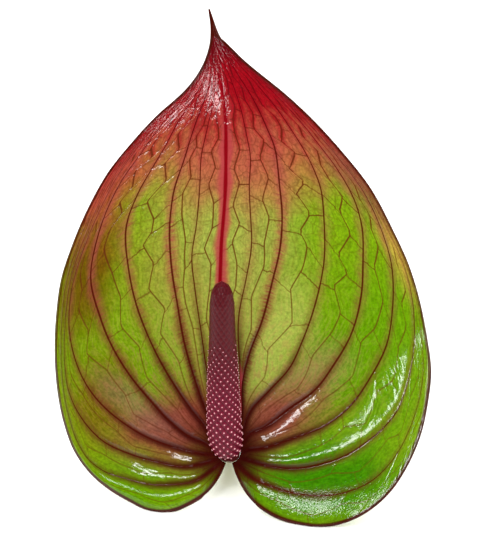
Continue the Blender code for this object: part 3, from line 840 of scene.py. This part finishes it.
def bract_back_material():
    """The back of the bract: paler and duller than its face, with the veins standing out of it."""
    made, tree, shader = new_material("dull_bract_back", 0.5, 0.25, 0.25)
    found = bloom_place(tree)
    for name in ("main_mm", "fine_mm", "rim_mm", "vein_half"):
        found[name] = add_node(tree, "ShaderNodeAttribute", {"attribute_name": name}, {}, "Fac")
    cloud, mottle = (
        add_node(
            tree, "ShaderNodeTexNoise", {},
            {"Vector": found["bloom"], "Scale": scale, "Detail": detail},
        )
        for scale, detail in ((0.09, 3.0), (0.7, 4.0))
    )
    colour = add_node(
        tree, "ShaderNodeMix", COLOURS,
        {0: mottle, 6: linear_colour("7C9440"), 7: linear_colour("9DAC5A")}, 2,
    )
    height = add_node(
        tree, "ShaderNodeMath", TIMES_PLUS, {0: cloud, 1: 30.0, 2: found["along"]}
    )
    outer = add_node(
        tree, "ShaderNodeMath", TIMES_PLUS, {0: found["vein_half"], 1: 1.6, 2: 0.15}
    )
    colour = lay_over(tree, colour, (
        ("red tip", height, 88.0, 142.0, 0.9, "8E2620"),
        ("fine veins", found["fine_mm"], 0.4, 0.1, 0.35, "84603A"),
        ("main veins", found["main_mm"], outer, 0.1, 0.8, "A0623E"),
        ("dark rim", found["rim_mm"], 2.4, 0.4, 0.75, "6A1A10"),
    ))[0]
    tree.links.new(colour, shader.inputs["Base Color"])
    bump = add_node(
        tree, "ShaderNodeBump", {}, {"Height": mottle, "Distance": 0.15 * MM, "Strength": 1.0}
    )
    tree.links.new(bump, shader.inputs["Normal"])
    return made


def margin_material():
    """The hard thin rim of the bract: dark maroon skin, a little shiny, worn paler here and there."""
    made, tree, shader = new_material("maroon_margin", 0.5, 0.1, 0.2)
    place = add_node(tree, "ShaderNodeTexCoord", {}, {}, "Object")
    wear = add_node(
        tree, "ShaderNodeTexNoise", {}, {"Vector": place, "Scale": 180.0, "Detail": 3.0}
    )
    share = add_node(
        tree, "ShaderNodeMapRange", {},
        {"Value": wear, "From Min": 0.45, "From Max": 0.75, "To Max": 0.6},
    )
    colour = add_node(
        tree, "ShaderNodeMix", COLOURS,
        {0: share, 6: linear_colour("3A0A05"), 7: linear_colour("5E1E10")}, 2,
    )
    tree.links.new(colour, shader.inputs["Base Color"])
    return made


def stalk_material():
    """A fleshy green stalk: faintly ribbed along its length, smooth and softly shining, maroon at
    the bloom."""
    made, tree, shader = new_material("fleshy_green_stalk", 0.42, 0.35, 0.2)
    from_neck = add_node(tree, "ShaderNodeAttribute", {"attribute_name": "from_neck_mm"}, {}, "Fac")
    strips = add_node(tree, "ShaderNodeUVMap", {"uv_map": "skin"}, {})
    drawn_out = add_node(tree, "ShaderNodeMapping", {}, {0: strips, 3: (2.2, 0.05, 1.0)})
    grain, blotch = (
        add_node(
            tree, "ShaderNodeTexNoise", {}, {"Vector": place, "Scale": scale, "Detail": detail}
        )
        for place, scale, detail in ((drawn_out, 1.0, 4.0), (strips, 0.06, 3.0))
    )
    colour = add_node(
        tree, "ShaderNodeMix", COLOURS,
        {0: blotch, 6: linear_colour("4F7A1E"), 7: linear_colour("8BA344")}, 2,
    )
    streak = add_node(
        tree, "ShaderNodeMapRange", {},
        {"Value": grain, "From Min": 0.35, "From Max": 0.65, "To Min": 0.82, "To Max": 1.1},
    )
    colour = add_node(tree, "ShaderNodeMix", SHADE, {0: 1.0, 6: colour, 7: streak}, 2)
    flush = add_node(tree, "ShaderNodeMath", TIMES_PLUS, {0: grain, 1: -14.0, 2: from_neck})
    colour = lay_over(tree, colour, (
        ("brown flush", flush, 34.0, 2.0, 0.95, "7A3A22"),
        ("maroon receptacle", flush, 4.0, -4.0, 0.95, "4A0C12"),
    ))[0]
    tree.links.new(colour, shader.inputs["Base Color"])
    bump = add_node(
        tree, "ShaderNodeBump", {}, {"Height": grain, "Distance": 0.25 * MM, "Strength": 1.0}
    )
    for socket in ("Normal", "Coat Normal"):
        tree.links.new(bump, shader.inputs[socket])
    return made


def cut_material():
    """The fresh cut of the stalk: wet pale pith, with the darker dots of its vessels and a green
    skin round it."""
    made, tree, shader = new_material("wet_cut_pith", 0.3, 0.5, 0.15)
    disc = add_node(tree, "ShaderNodeUVMap", {"uv_map": "skin"}, {})
    out = add_node(tree, "ShaderNodeVectorMath", {"operation": "LENGTH"}, {0: disc}, "Value")
    vessels = add_node(
        tree, "ShaderNodeTexVoronoi", {}, {"Vector": disc, "Scale": 1.5, "Randomness": 0.8},
        "Distance",
    )
    colour = lay_over(tree, linear_colour("C9D3A0"), (
        ("vessels", vessels, 0.3, 0.12, 0.75, "7E8E4A"),
        ("green skin", out, 2.7, 3.3, 0.9, "5C7F2A"),
    ))[0]
    tree.links.new(colour, shader.inputs["Base Color"])
    bump = add_node(
        tree, "ShaderNodeBump", {}, {"Height": vessels, "Distance": 0.1 * MM, "Strength": 1.0}
    )
    tree.links.new(bump, shader.inputs["Normal"])
    return made


def plain_material(name, shade, roughness, coat=0.0):
    """One even colour, for the paper under the flower and for dots too small to show more."""
    made, _, shader = new_material(name, roughness, coat)
    shader.inputs["Base Color"].default_value = linear_colour(shade)
    return made


# The blade's materials, by their place in its list.
FACE_SURFACE, BACK_SURFACE, RIM_SURFACE = 0, 1, 2


def make_blade(blade, margin):
    """The bract: a face and a back of one grid, joined round the rim."""
    front, back = (to_world(points) for points in blade.faces())
    column_count, row_count = blade.shape

    bm = bmesh.new()
    number = bm.verts.layers.int.new("number")
    grid = bmesh.ops.create_grid(
        bm, x_segments=column_count - 1, y_segments=row_count - 1, size=1
    )
    for vert in grid["verts"]:
        column = round((vert.co.x + 1) / 2 * (column_count - 1))
        row = round((vert.co.y + 1) / 2 * (row_count - 1))
        vert[number] = column * row_count + row
        vert.co = front[column, row]
    shell = bmesh.ops.extrude_face_region(bm, geom=bm.faces[:], use_keep_orig=True)
    flat_back = back.reshape(-1, 3)
    for piece in shell["geom"]:
        if isinstance(piece, bmesh.types.BMVert):
            piece.co = flat_back[piece[number]]
        elif isinstance(piece, bmesh.types.BMFace):
            piece.material_index = BACK_SURFACE
    # A face of the rim joins points of the face to the same points of the back.
    for face in bm.faces:
        numbers = {vert[number] for vert in face.verts}
        if face.material_index == FACE_SURFACE and len(numbers) < 4:
            face.material_index = RIM_SURFACE
    bmesh.ops.recalc_face_normals(bm, faces=bm.faces)
    piece = finish_object(
        "spathe_blade", bm, [spathe_face_material(), bract_back_material(), margin],
        "spathe",
    )
    add_measures(piece.data, blade)


# The tissue's own grid: how many of its cells lie between two main veins, and how long each is.
TISSUE_ACROSS = 3.3
TISSUE_ALONG = 3.2


def add_measures(mesh, blade):
    """Stores what the veins are doing at each point, for the material to read."""
    numbers = np.zeros(len(mesh.vertices), np.int32)
    mesh.attributes["number"].data.foreach_get("value", numbers)
    for name in MEASURES:
        layer = mesh.attributes.new(name, "FLOAT", "POINT")
        values = getattr(blade, name).reshape(-1)
        layer.data.foreach_set("value", values[numbers].astype(np.float32))

    strips = 2 * 2 * MARGIN
    per_strip = COLUMNS_A_RIB // 2
    cross = np.array([blade.cross_veins(strip) for strip in range(strips)])
    corners = np.zeros(len(mesh.loops), np.int32)
    mesh.loops.foreach_get("vertex_index", corners)
    corner_numbers = numbers[corners]
    columns, rows = np.divmod(corner_numbers, blade.shape[1])
    starts = np.zeros(len(mesh.polygons), np.int32)
    totals = np.zeros(len(mesh.polygons), np.int32)
    mesh.polygons.foreach_get("loop_start", starts)
    mesh.polygons.foreach_get("loop_total", totals)
    lowest = np.minimum.reduceat(columns, starts)
    strip = np.clip(np.repeat(lowest, totals) // per_strip, 0, strips - 1)
    inside = np.clip(columns - strip * per_strip, 0, per_strip)
    links = np.column_stack([cross[strip, inside, part, rows] for part in (0, 1)])
    tissue = np.column_stack([
        blade.nominal.reshape(-1)[corner_numbers] * TISSUE_ACROSS,
        blade.travel.reshape(-1)[corner_numbers] / TISSUE_ALONG,
    ])
    for name, values in (("cross_veins", links), ("tissue", tissue)):
        layer = mesh.uv_layers.new(name=name)
        layer.data.foreach_set("uv", values.astype(np.float32).reshape(-1))


# The thickened rim: a bead just inside the blade's outline, thinner towards the tip. It is less
# wide than high, and both that and how far it is set in are shares of its radius.
BEAD_RADIUS = 0.5
BEAD_RADIUS_AT_TIP = 0.26
BEAD_WIDTH = 0.65
BEAD_SET_IN = 0.6
BEAD_SIDES = 10
BEAD_STEPS = 260
# It runs between these shares of the rim, and thins over the last of it, from a start and over a
# length.
BEAD_RUN = (0.004, 0.998)
BEAD_THINS = (0.7, 0.3)


def make_rim_bead(blade, margin):
    """The blade's rounded rim, as one bead from the neck to the tip on each side."""
    shares = np.linspace(*BEAD_RUN, BEAD_STEPS + 1)
    front, back = (blade_rims(points) for points in blade.faces())
    bm = bmesh.new()
    turns = np.linspace(0, 2 * math.pi, BEAD_SIDES, endpoint=False)
    for side in (0, 1):
        face, under, inner = (
            np.column_stack([np.interp(shares, blade.rows[0], axis) for axis in strip.T])
            for strip in (front[side][0], back[side][0], front[side][1])
        )
        outwards, up = face - inner, face - under
        for direction in (outwards, up):
            direction /= np.linalg.norm(direction, axis=1)[:, None]
        radius = BEAD_RADIUS + (BEAD_RADIUS_AT_TIP - BEAD_RADIUS) * come_in(shares, BEAD_THINS)
        middle = (face + under) / 2 - outwards * radius[:, None] * BEAD_SET_IN
        rings = []
        for step in range(len(shares)):
            ring = [
                middle[step] + radius[step] * (
                    BEAD_WIDTH * math.cos(turn) * outwards[step] + math.sin(turn) * up[step])
                for turn in turns
            ]
            rings.append([bm.verts.new(place) for place in to_world(np.array(ring))])
        for before, after in zip(rings, rings[1:]):
            for i in range(BEAD_SIDES):
                j = (i + 1) % BEAD_SIDES
                bm.faces.new((before[i], before[j], after[j], after[i]))
        bm.faces.new(rings[0])
        bm.faces.new(rings[-1])
    bmesh.ops.recalc_face_normals(bm, faces=bm.faces)
    finish_object("spathe_rim", bm, [margin], "spathe")


def blade_rims(points):
    """For each side of the blade: its rim and the line a few columns in from it."""
    return (points[0], points[3]), (points[-1], points[-4])


# The spadix: its axis in the bloom's frame, its radius along its length, and its florets' lattice.
SPADIX_AXIS = (
    (0.0, 2.65, 3.0), (-0.7, 4.6, 6.4), (-1.4, 9.5, 10.4), (-1.7, 18.0, 14.6), (-1.9, 32.0, 20.6),
    (-2.1, 46.0, 26.0), (-2.2, 56.7, 29.6),
)
SPADIX_PLACES = (0.0, 0.025, 0.05, 0.09, 0.16, 0.35, 0.62, 0.88, 0.94, 0.98, 1.0)
SPADIX_RADII = (2.2, 3.5, 4.4, 5.0, 5.2, 4.85, 4.25, 3.8, 3.25, 2.05, 0.0)
FLORET_COLUMNS = 28
FLORET_ROWS = 50
FLORET_TWIST = 1.1
FLORET_RISE = 0.42
BUD_RISE = 0.16
TEPAL_SEAM_DEPTH = 0.16
TEPAL_SEAM_WIDTH = 0.06
SPADIX_SIDES = 168
SPADIX_RINGS = 250
# Upwards, the florets turn to buds, lose their ripe colour and lose their stigmas, each over a run
# that is a start and a length, as shares of the spadix.
BUDS = (0.54, 0.2)
UNRIPE = (0.3, 0.45)
NO_STIGMAS = (0.5, 0.25)
STIGMA_RADIUS = 0.3
STIGMA_SPREAD = (0.85, 1.1)
STIGMA_SUNK = 0.3
STIGMA_SIDES = 8
STIGMA_RINGS = 4


class Spike:
    """The spadix's core, on which any lattice place can be found."""

    def __init__(self):
        self.shares = np.linspace(0, 1, SPADIX_RINGS + 1)
        self.axis = smooth_curve(SPADIX_AXIS, self.shares)
        self.side, self.front = ways_across(self.axis)
        self.radii = np.interp(self.shares, SPADIX_PLACES, SPADIX_RADII)

    def out(self, turn, ring):
        """The way out of the core, so far round it; the lattice twists as it rises."""
        turn = turn + FLORET_TWIST * self.shares[ring]
        return self.front[ring] * math.cos(turn) + self.side[ring] * math.sin(turn)


def floret_rise(share):
    """How far a floret stands out here: the upper ones are still buds."""
    return FLORET_RISE + (BUD_RISE - FLORET_RISE) * come_in(share, BUDS)


def floret_form(column, row):
    """How high a floret stands here, from 0 in the seam to 1 in its middle, with four tepals."""
    first, second = (row + column) / 2, (row - column) / 2
    first, second = abs(first - round(first)), abs(second - round(second))
    edge = 1 - (2 * max(first, second)) ** 4
    crown = 1 - 2 * (first * first + second * second)
    seam = TEPAL_SEAM_DEPTH * math.exp(-((min(first, second) / TEPAL_SEAM_WIDTH) ** 2))
    return max(0.0, edge) * crown - seam * max(0.0, edge)


def floret_material():
    """Packed fleshy florets: matt maroon skin with a faint moist shine, rosier where they are ripe,
    and painted shade down in the joins between them.
    """
    made, tree, shader = new_material("fleshy_maroon_florets", 0.46, 0.16, 0.3)
    ripe, form = (
        add_node(tree, "ShaderNodeAttribute", {"attribute_name": name}, {}, "Fac")
        for name in ("ripe", "form")
    )
    colour = add_node(
        tree, "ShaderNodeMix", COLOURS,
        {0: ripe, 6: linear_colour("4C0A12"), 7: linear_colour("680A26")}, 2,
    )
    # Painted shade: the colour darkens down into the joins between the florets, where their form is
    # lowest.
    colour = lay_over(tree, colour, [("painted shade in the seams", form, 0.5, 0.0, 0.75, "3A0410")])[0]
    tree.links.new(colour, shader.inputs["Base Color"])
    return made


def make_spadix():
    """The spike: a closed core whose skin rises into a floret at each place of the lattice."""
    spike = Spike()
    bm = bmesh.new()
    ripe = bm.verts.layers.float.new("ripe")
    form = bm.verts.layers.float.new("form")
    bmesh.ops.create_uvsphere(bm, u_segments=SPADIX_SIDES, v_segments=SPADIX_RINGS, radius=1)
    places = []
    for vert in bm.verts:
        ring = round(math.acos(max(-1, min(1, -vert.co.z))) / math.pi * SPADIX_RINGS)
        turn = math.atan2(vert.co.y, vert.co.x)
        column = turn / (2 * math.pi) * FLORET_COLUMNS
        row = ring / SPADIX_RINGS * FLORET_ROWS
        share = spike.shares[ring]
        vert[form] = floret_form(column, row)
        vert[ripe] = 1 - come_in(share, UNRIPE)
        radius = 0 if ring in (0, SPADIX_RINGS) else spike.radii[ring]
        if 1 < row < FLORET_ROWS - 1:
            radius += floret_rise(share) * vert[form]
        places.append(spike.axis[ring] + spike.out(turn, ring) * radius)
    for vert, place in zip(bm.verts, to_world(np.array(places))):
        vert.co = place
    bmesh.ops.recalc_face_normals(bm, faces=bm.faces)
    finish_object("spadix_florets", bm, [floret_material()], "spadix")


def make_stigmas():
    """The pale tip of each open floret, in its middle."""
    spike = Spike()
    random = np.random.default_rng(7)
    bm = bmesh.new()
    bmesh.ops.create_uvsphere(bm, u_segments=STIGMA_SIDES, v_segments=STIGMA_RINGS, radius=1)
    dot = bpy.data.meshes.new("stigma")
    bm.to_mesh(dot)
    bm.clear()
    for row in range(2, FLORET_ROWS - 1):
        share = row / FLORET_ROWS
        ring = round(share * SPADIX_RINGS)
        for column in range(row % 2, FLORET_COLUMNS, 2):
            if random.uniform() < come_in(share, NO_STIGMAS):
                continue
            out = spike.out(column / FLORET_COLUMNS * 2 * math.pi, ring)
            size = STIGMA_RADIUS * (1.1 - 0.75 * share) * random.uniform(*STIGMA_SPREAD)
            height = spike.radii[ring] + floret_rise(share) - STIGMA_SUNK * size
            place = BLOOM @ Vector((spike.axis[ring] + out * height) * MM)
            one = dot.copy()
            one.transform(Matrix.Translation(place) @ Matrix.Scale(size * MM, 4))
            bm.from_mesh(one)
            bpy.data.meshes.remove(one)
    finish_object(
        "spadix_stigmas", bm, [plain_material("moist_pink_stigmas", "E0A0A6", 0.3, 0.5)],
        "spadix",
    )


# The stem: its neck through the spathe, then its way along the surface, as in the solids.
STEM_NECK = ((0.0, 2.5, 2.6), (0.0, 2.05, 0.6), (0.0, 1.95, -1.5), (0.0, 1.9, -5.0))
STEM_RUN = (
    (0.0, 14.0, 7.9), (-0.2, 25.0, 5.4), (-0.6, 40.0, 4.2), (-1.6, 66.0, 3.8), (-3.6, 105.0, 4.6),
    (-4.2, 150.0, 4.9), (-2.6, 195.0, 4.3), (-0.4, 232.0, 3.6), (0.8, 256.0, 3.45),
)
# It widens over the first part of its length, and stays a little inside the solid.
NECK_RADIUS = 3.3
STEM_END_RADIUS = 3.6
STEM_WIDENS = (0, 0.625)
STEM_INSET = 0.05
# The receptacle, at its upper end, is this much wider, so that it fills the ring of the bract, and
# it narrows over this run.
RECEPTACLE_SWELL = 0.35
RECEPTACLE_NARROWS = (3, 4)
# A stalk is never quite round: three faint edges run along it.
STEM_EDGES = 3
STEM_FLATNESS = 0.02
CUT_PLACE = (0.0, 250.0, 3.5)
CUT_FACING = (0.0, 0.82, 0.57)
STEM_SIDES = 64
STEM_RINGS = 200
RING_EASE = 1.35
# Its skin is unrolled at this radius. Past this far round, a face may cross the seam.
SKIN_RADIUS = 3.5
SEAM_NEAR = 8.0
SKIN_SURFACE, CUT_SURFACE = 0, 1


class Stalk:
    """The stem's rings: its axis, the ways across it, its radii and the way travelled along it."""

    def __init__(self, base):
        neck = [BLOOM @ (Vector(point) * MM) / MM for point in STEM_NECK]
        route = [*neck, *(Vector(point) + base for point in STEM_RUN)]
        shares = np.linspace(0, 1, STEM_RINGS + 1)
        self.axis = smooth_curve(route, shares**RING_EASE)
        self.side, self.front = ways_across(self.axis)
        steps = np.linalg.norm(np.diff(self.axis, axis=0), axis=1)
        self.travel = np.concatenate([[0], np.cumsum(steps)])
        self.radii = NECK_RADIUS + (STEM_END_RADIUS - NECK_RADIUS) * come_in(shares, STEM_WIDENS)
        self.radii -= STEM_INSET
        self.radii += RECEPTACLE_SWELL * (1 - come_in(self.travel, RECEPTACLE_NARROWS))

    def point(self, ring, turn):
        """The place on the skin, in metres, so far round a ring."""
        radius = self.radii[ring] * (1 - STEM_FLATNESS * (1 + math.cos(STEM_EDGES * turn)))
        out = self.side[ring] * math.cos(turn) + self.front[ring] * math.sin(turn)
        return Vector(self.axis[ring] + out * radius) * MM


def make_stem():
    """The stalk: one tube from the receptacle to the cut, whose end lies flat on the surface."""
    base = Vector((BASE_PLACE[0], BASE_PLACE[1], 0))
    stalk = Stalk(base)
    bm = bmesh.new()
    from_neck = bm.verts.layers.float.new("from_neck_mm")
    skin = bm.loops.layers.uv.new("skin")
    bmesh.ops.create_cone(bm, segments=STEM_SIDES, radius1=1, radius2=1, depth=1, cap_ends=False)
    lengthwise = [
        edge for edge in bm.edges if abs(edge.verts[0].co.z - edge.verts[1].co.z) > 0.5
    ]
    bmesh.ops.subdivide_edges(bm, edges=lengthwise, cuts=STEM_RINGS - 1)
    spots = {}
    for vert in bm.verts:
        ring = round((vert.co.z + 0.5) * STEM_RINGS)
        turn = math.atan2(vert.co.y, vert.co.x)
        spots[vert] = (turn * stalk.radii[ring], stalk.travel[ring])
        vert[from_neck] = stalk.travel[ring]
        vert.co = stalk.point(ring, turn)
    for face in bm.faces:
        at_seam = max(spots[vert][0] for vert in face.verts) > SEAM_NEAR
        for loop in face.loops:
            round_it, along = spots[loop.vert]
            if at_seam and round_it < 0:
                round_it += 2 * math.pi * SKIN_RADIUS
            loop[skin].uv = (round_it, along)

    # The cut end, and the flat on which the end rests.
    for point, facing, fill, surface in (
        ((Vector(CUT_PLACE) + base) * MM, Vector(CUT_FACING),
         lambda rim: bmesh.ops.contextual_create(bm, geom=rim), CUT_SURFACE),
        (Vector(), Vector((0, 0, -1)),
         lambda rim: bmesh.ops.holes_fill(bm, edges=rim, sides=0), SKIN_SURFACE),
    ):
        cut = bmesh.ops.bisect_plane(
            bm, geom=bm.verts[:] + bm.edges[:] + bm.faces[:], dist=0.001 * MM,
            plane_co=point, plane_no=facing, clear_outer=True,
        )
        rim = [piece for piece in cut["geom_cut"] if isinstance(piece, bmesh.types.BMEdge)]
        for face in fill(rim)["faces"]:
            face.material_index = surface
            for loop in face.loops:
                off = (loop.vert.co - point) / MM
                loop[skin].uv = (off.x, off.cross(facing).x)
    upper_end = [edge for edge in bm.edges if edge.is_boundary]
    bmesh.ops.holes_fill(bm, edges=upper_end, sides=0)
    bmesh.ops.triangulate(bm, faces=[face for face in bm.faces if len(face.verts) > 4])
    bmesh.ops.recalc_face_normals(bm, faces=bm.faces)
    piece = finish_object("cut_stalk", bm, [stalk_material(), cut_material()], "stem")
    piece.data.set_sharp_from_angle(angle=math.radians(50))


# The floor lies this far under the object, in millimetres, and its half width is in metres.
FLOOR_DROP = 0.3
FLOOR_HALF_WIDTH = 6


def make_floor():
    """The plain pale paper that the flower lies on."""
    bm = bmesh.new()
    bmesh.ops.create_grid(bm, x_segments=1, y_segments=1, size=FLOOR_HALF_WIDTH)
    bmesh.ops.translate(bm, verts=bm.verts, vec=(0, 0, -FLOOR_DROP * MM))
    mesh = bpy.data.meshes.new("floor")
    bm.to_mesh(mesh)
    bm.free()
    mesh.materials.append(plain_material("white_paper_floor", "F4F4F2", 0.9))
    floor = bpy.data.objects.new("floor", mesh)
    bpy.context.scene.collection.objects.link(floor)


# The camera looks square onto the bloom, and the photograph's frame is 480 by 546.
AIM = (3.52, 59.2, 0.0)
CAMERA_AWAY = 1600.0
FRAME_HEIGHT = 174.7
SENSOR = 36.0


def make_camera():
    """A long lens, square onto the middle of the bloom."""
    camera = bpy.data.cameras.new("camera")
    camera.sensor_fit = "VERTICAL"
    camera.sensor_height = SENSOR
    camera.lens = SENSOR * CAMERA_AWAY / FRAME_HEIGHT
    camera.clip_start = 0.05
    camera.clip_end = 50
    holder = bpy.data.objects.new("camera", camera)
    bpy.context.scene.collection.objects.link(holder)
    place = Vector(AIM) + Vector((0, 0, CAMERA_AWAY))
    holder.matrix_world = Matrix.Translation(BLOOM @ (place * MM)) @ Matrix.Rotation(LEAN, 4, "X")
    bpy.context.scene.camera = holder


# Soft boxes: which way each stands from the bloom, sideways and upwards in degrees, how far away
# in metres, its width and height, and its brightness.
SOFT_BOXES = (
    ("tip_side_strip", (-13.0, 26.0), 1.1, (0.3, 0.15), 30.0),
    ("right_window", (52.0, -6.0), 1.3, (0.5, 0.6), 2.0),
)
# Broad soft suns: where each stands round the bloom and above the surface, how wide its light
# is, in degrees, and its strength. They light the tissue evenly, and the soft boxes alone shine
# in its wax.
SUNS = (
    ("left_sky", (-80.0, 45.0), 40.0, 1.15),
    ("right_sky", (80.0, 45.0), 40.0, 1.15),
    ("front_sky", (0.0, 55.0), 50.0, 0.5),
    ("back_sky", (180.0, 40.0), 50.0, 4.2),
)
WORLD_STRENGTH = 0.5


def make_lights():
    """The soft boxes and the suns, with an even pale sky."""
    for name, (sideways, upwards), away, size, radiance in SOFT_BOXES:
        light = bpy.data.lights.new(name, "AREA")
        light.shape = "RECTANGLE"
        light.size, light.size_y = size
        light.energy = radiance * math.pi * size[0] * size[1]
        holder = bpy.data.objects.new(name, light)
        bpy.context.scene.collection.objects.link(holder)
        turn = Matrix.Rotation(math.radians(sideways), 4, "Y") @ Matrix.Rotation(
            -math.radians(upwards), 4, "X")
        tilt = Matrix.Rotation(LEAN, 4, "X") @ turn
        middle = Matrix.Translation(BLOOM @ (Vector(AIM) * MM))
        holder.matrix_world = middle @ tilt @ Matrix.Translation((0, 0, away))
    for name, (sideways, height), spread, strength in SUNS:
        light = bpy.data.lights.new(name, "SUN")
        light.energy = strength
        light.angle = math.radians(spread)
        holder = bpy.data.objects.new(name, light)
        bpy.context.scene.collection.objects.link(holder)
        holder.visible_glossy = False
        holder.matrix_world = Matrix.Rotation(math.radians(sideways), 4, "Z") @ Matrix.Rotation(
            math.radians(90 - height), 4, "X")
    world = bpy.data.worlds.new("studio")
    world.use_nodes = True
    background = world.node_tree.nodes["Background"]
    background.inputs["Color"].default_value = (1, 1, 1, 1)
    background.inputs["Strength"].default_value = WORLD_STRENGTH
    world.cycles_visibility.glossy = False
    bpy.context.scene.world = world
    bpy.context.scene.view_settings.view_transform = "Standard"


make_camera()
make_lights()
make_floor()
bract = Blade()
rim_skin = margin_material()
make_blade(bract, rim_skin)
make_rim_bead(bract, rim_skin)
make_spadix()
make_stigmas()
make_stem()
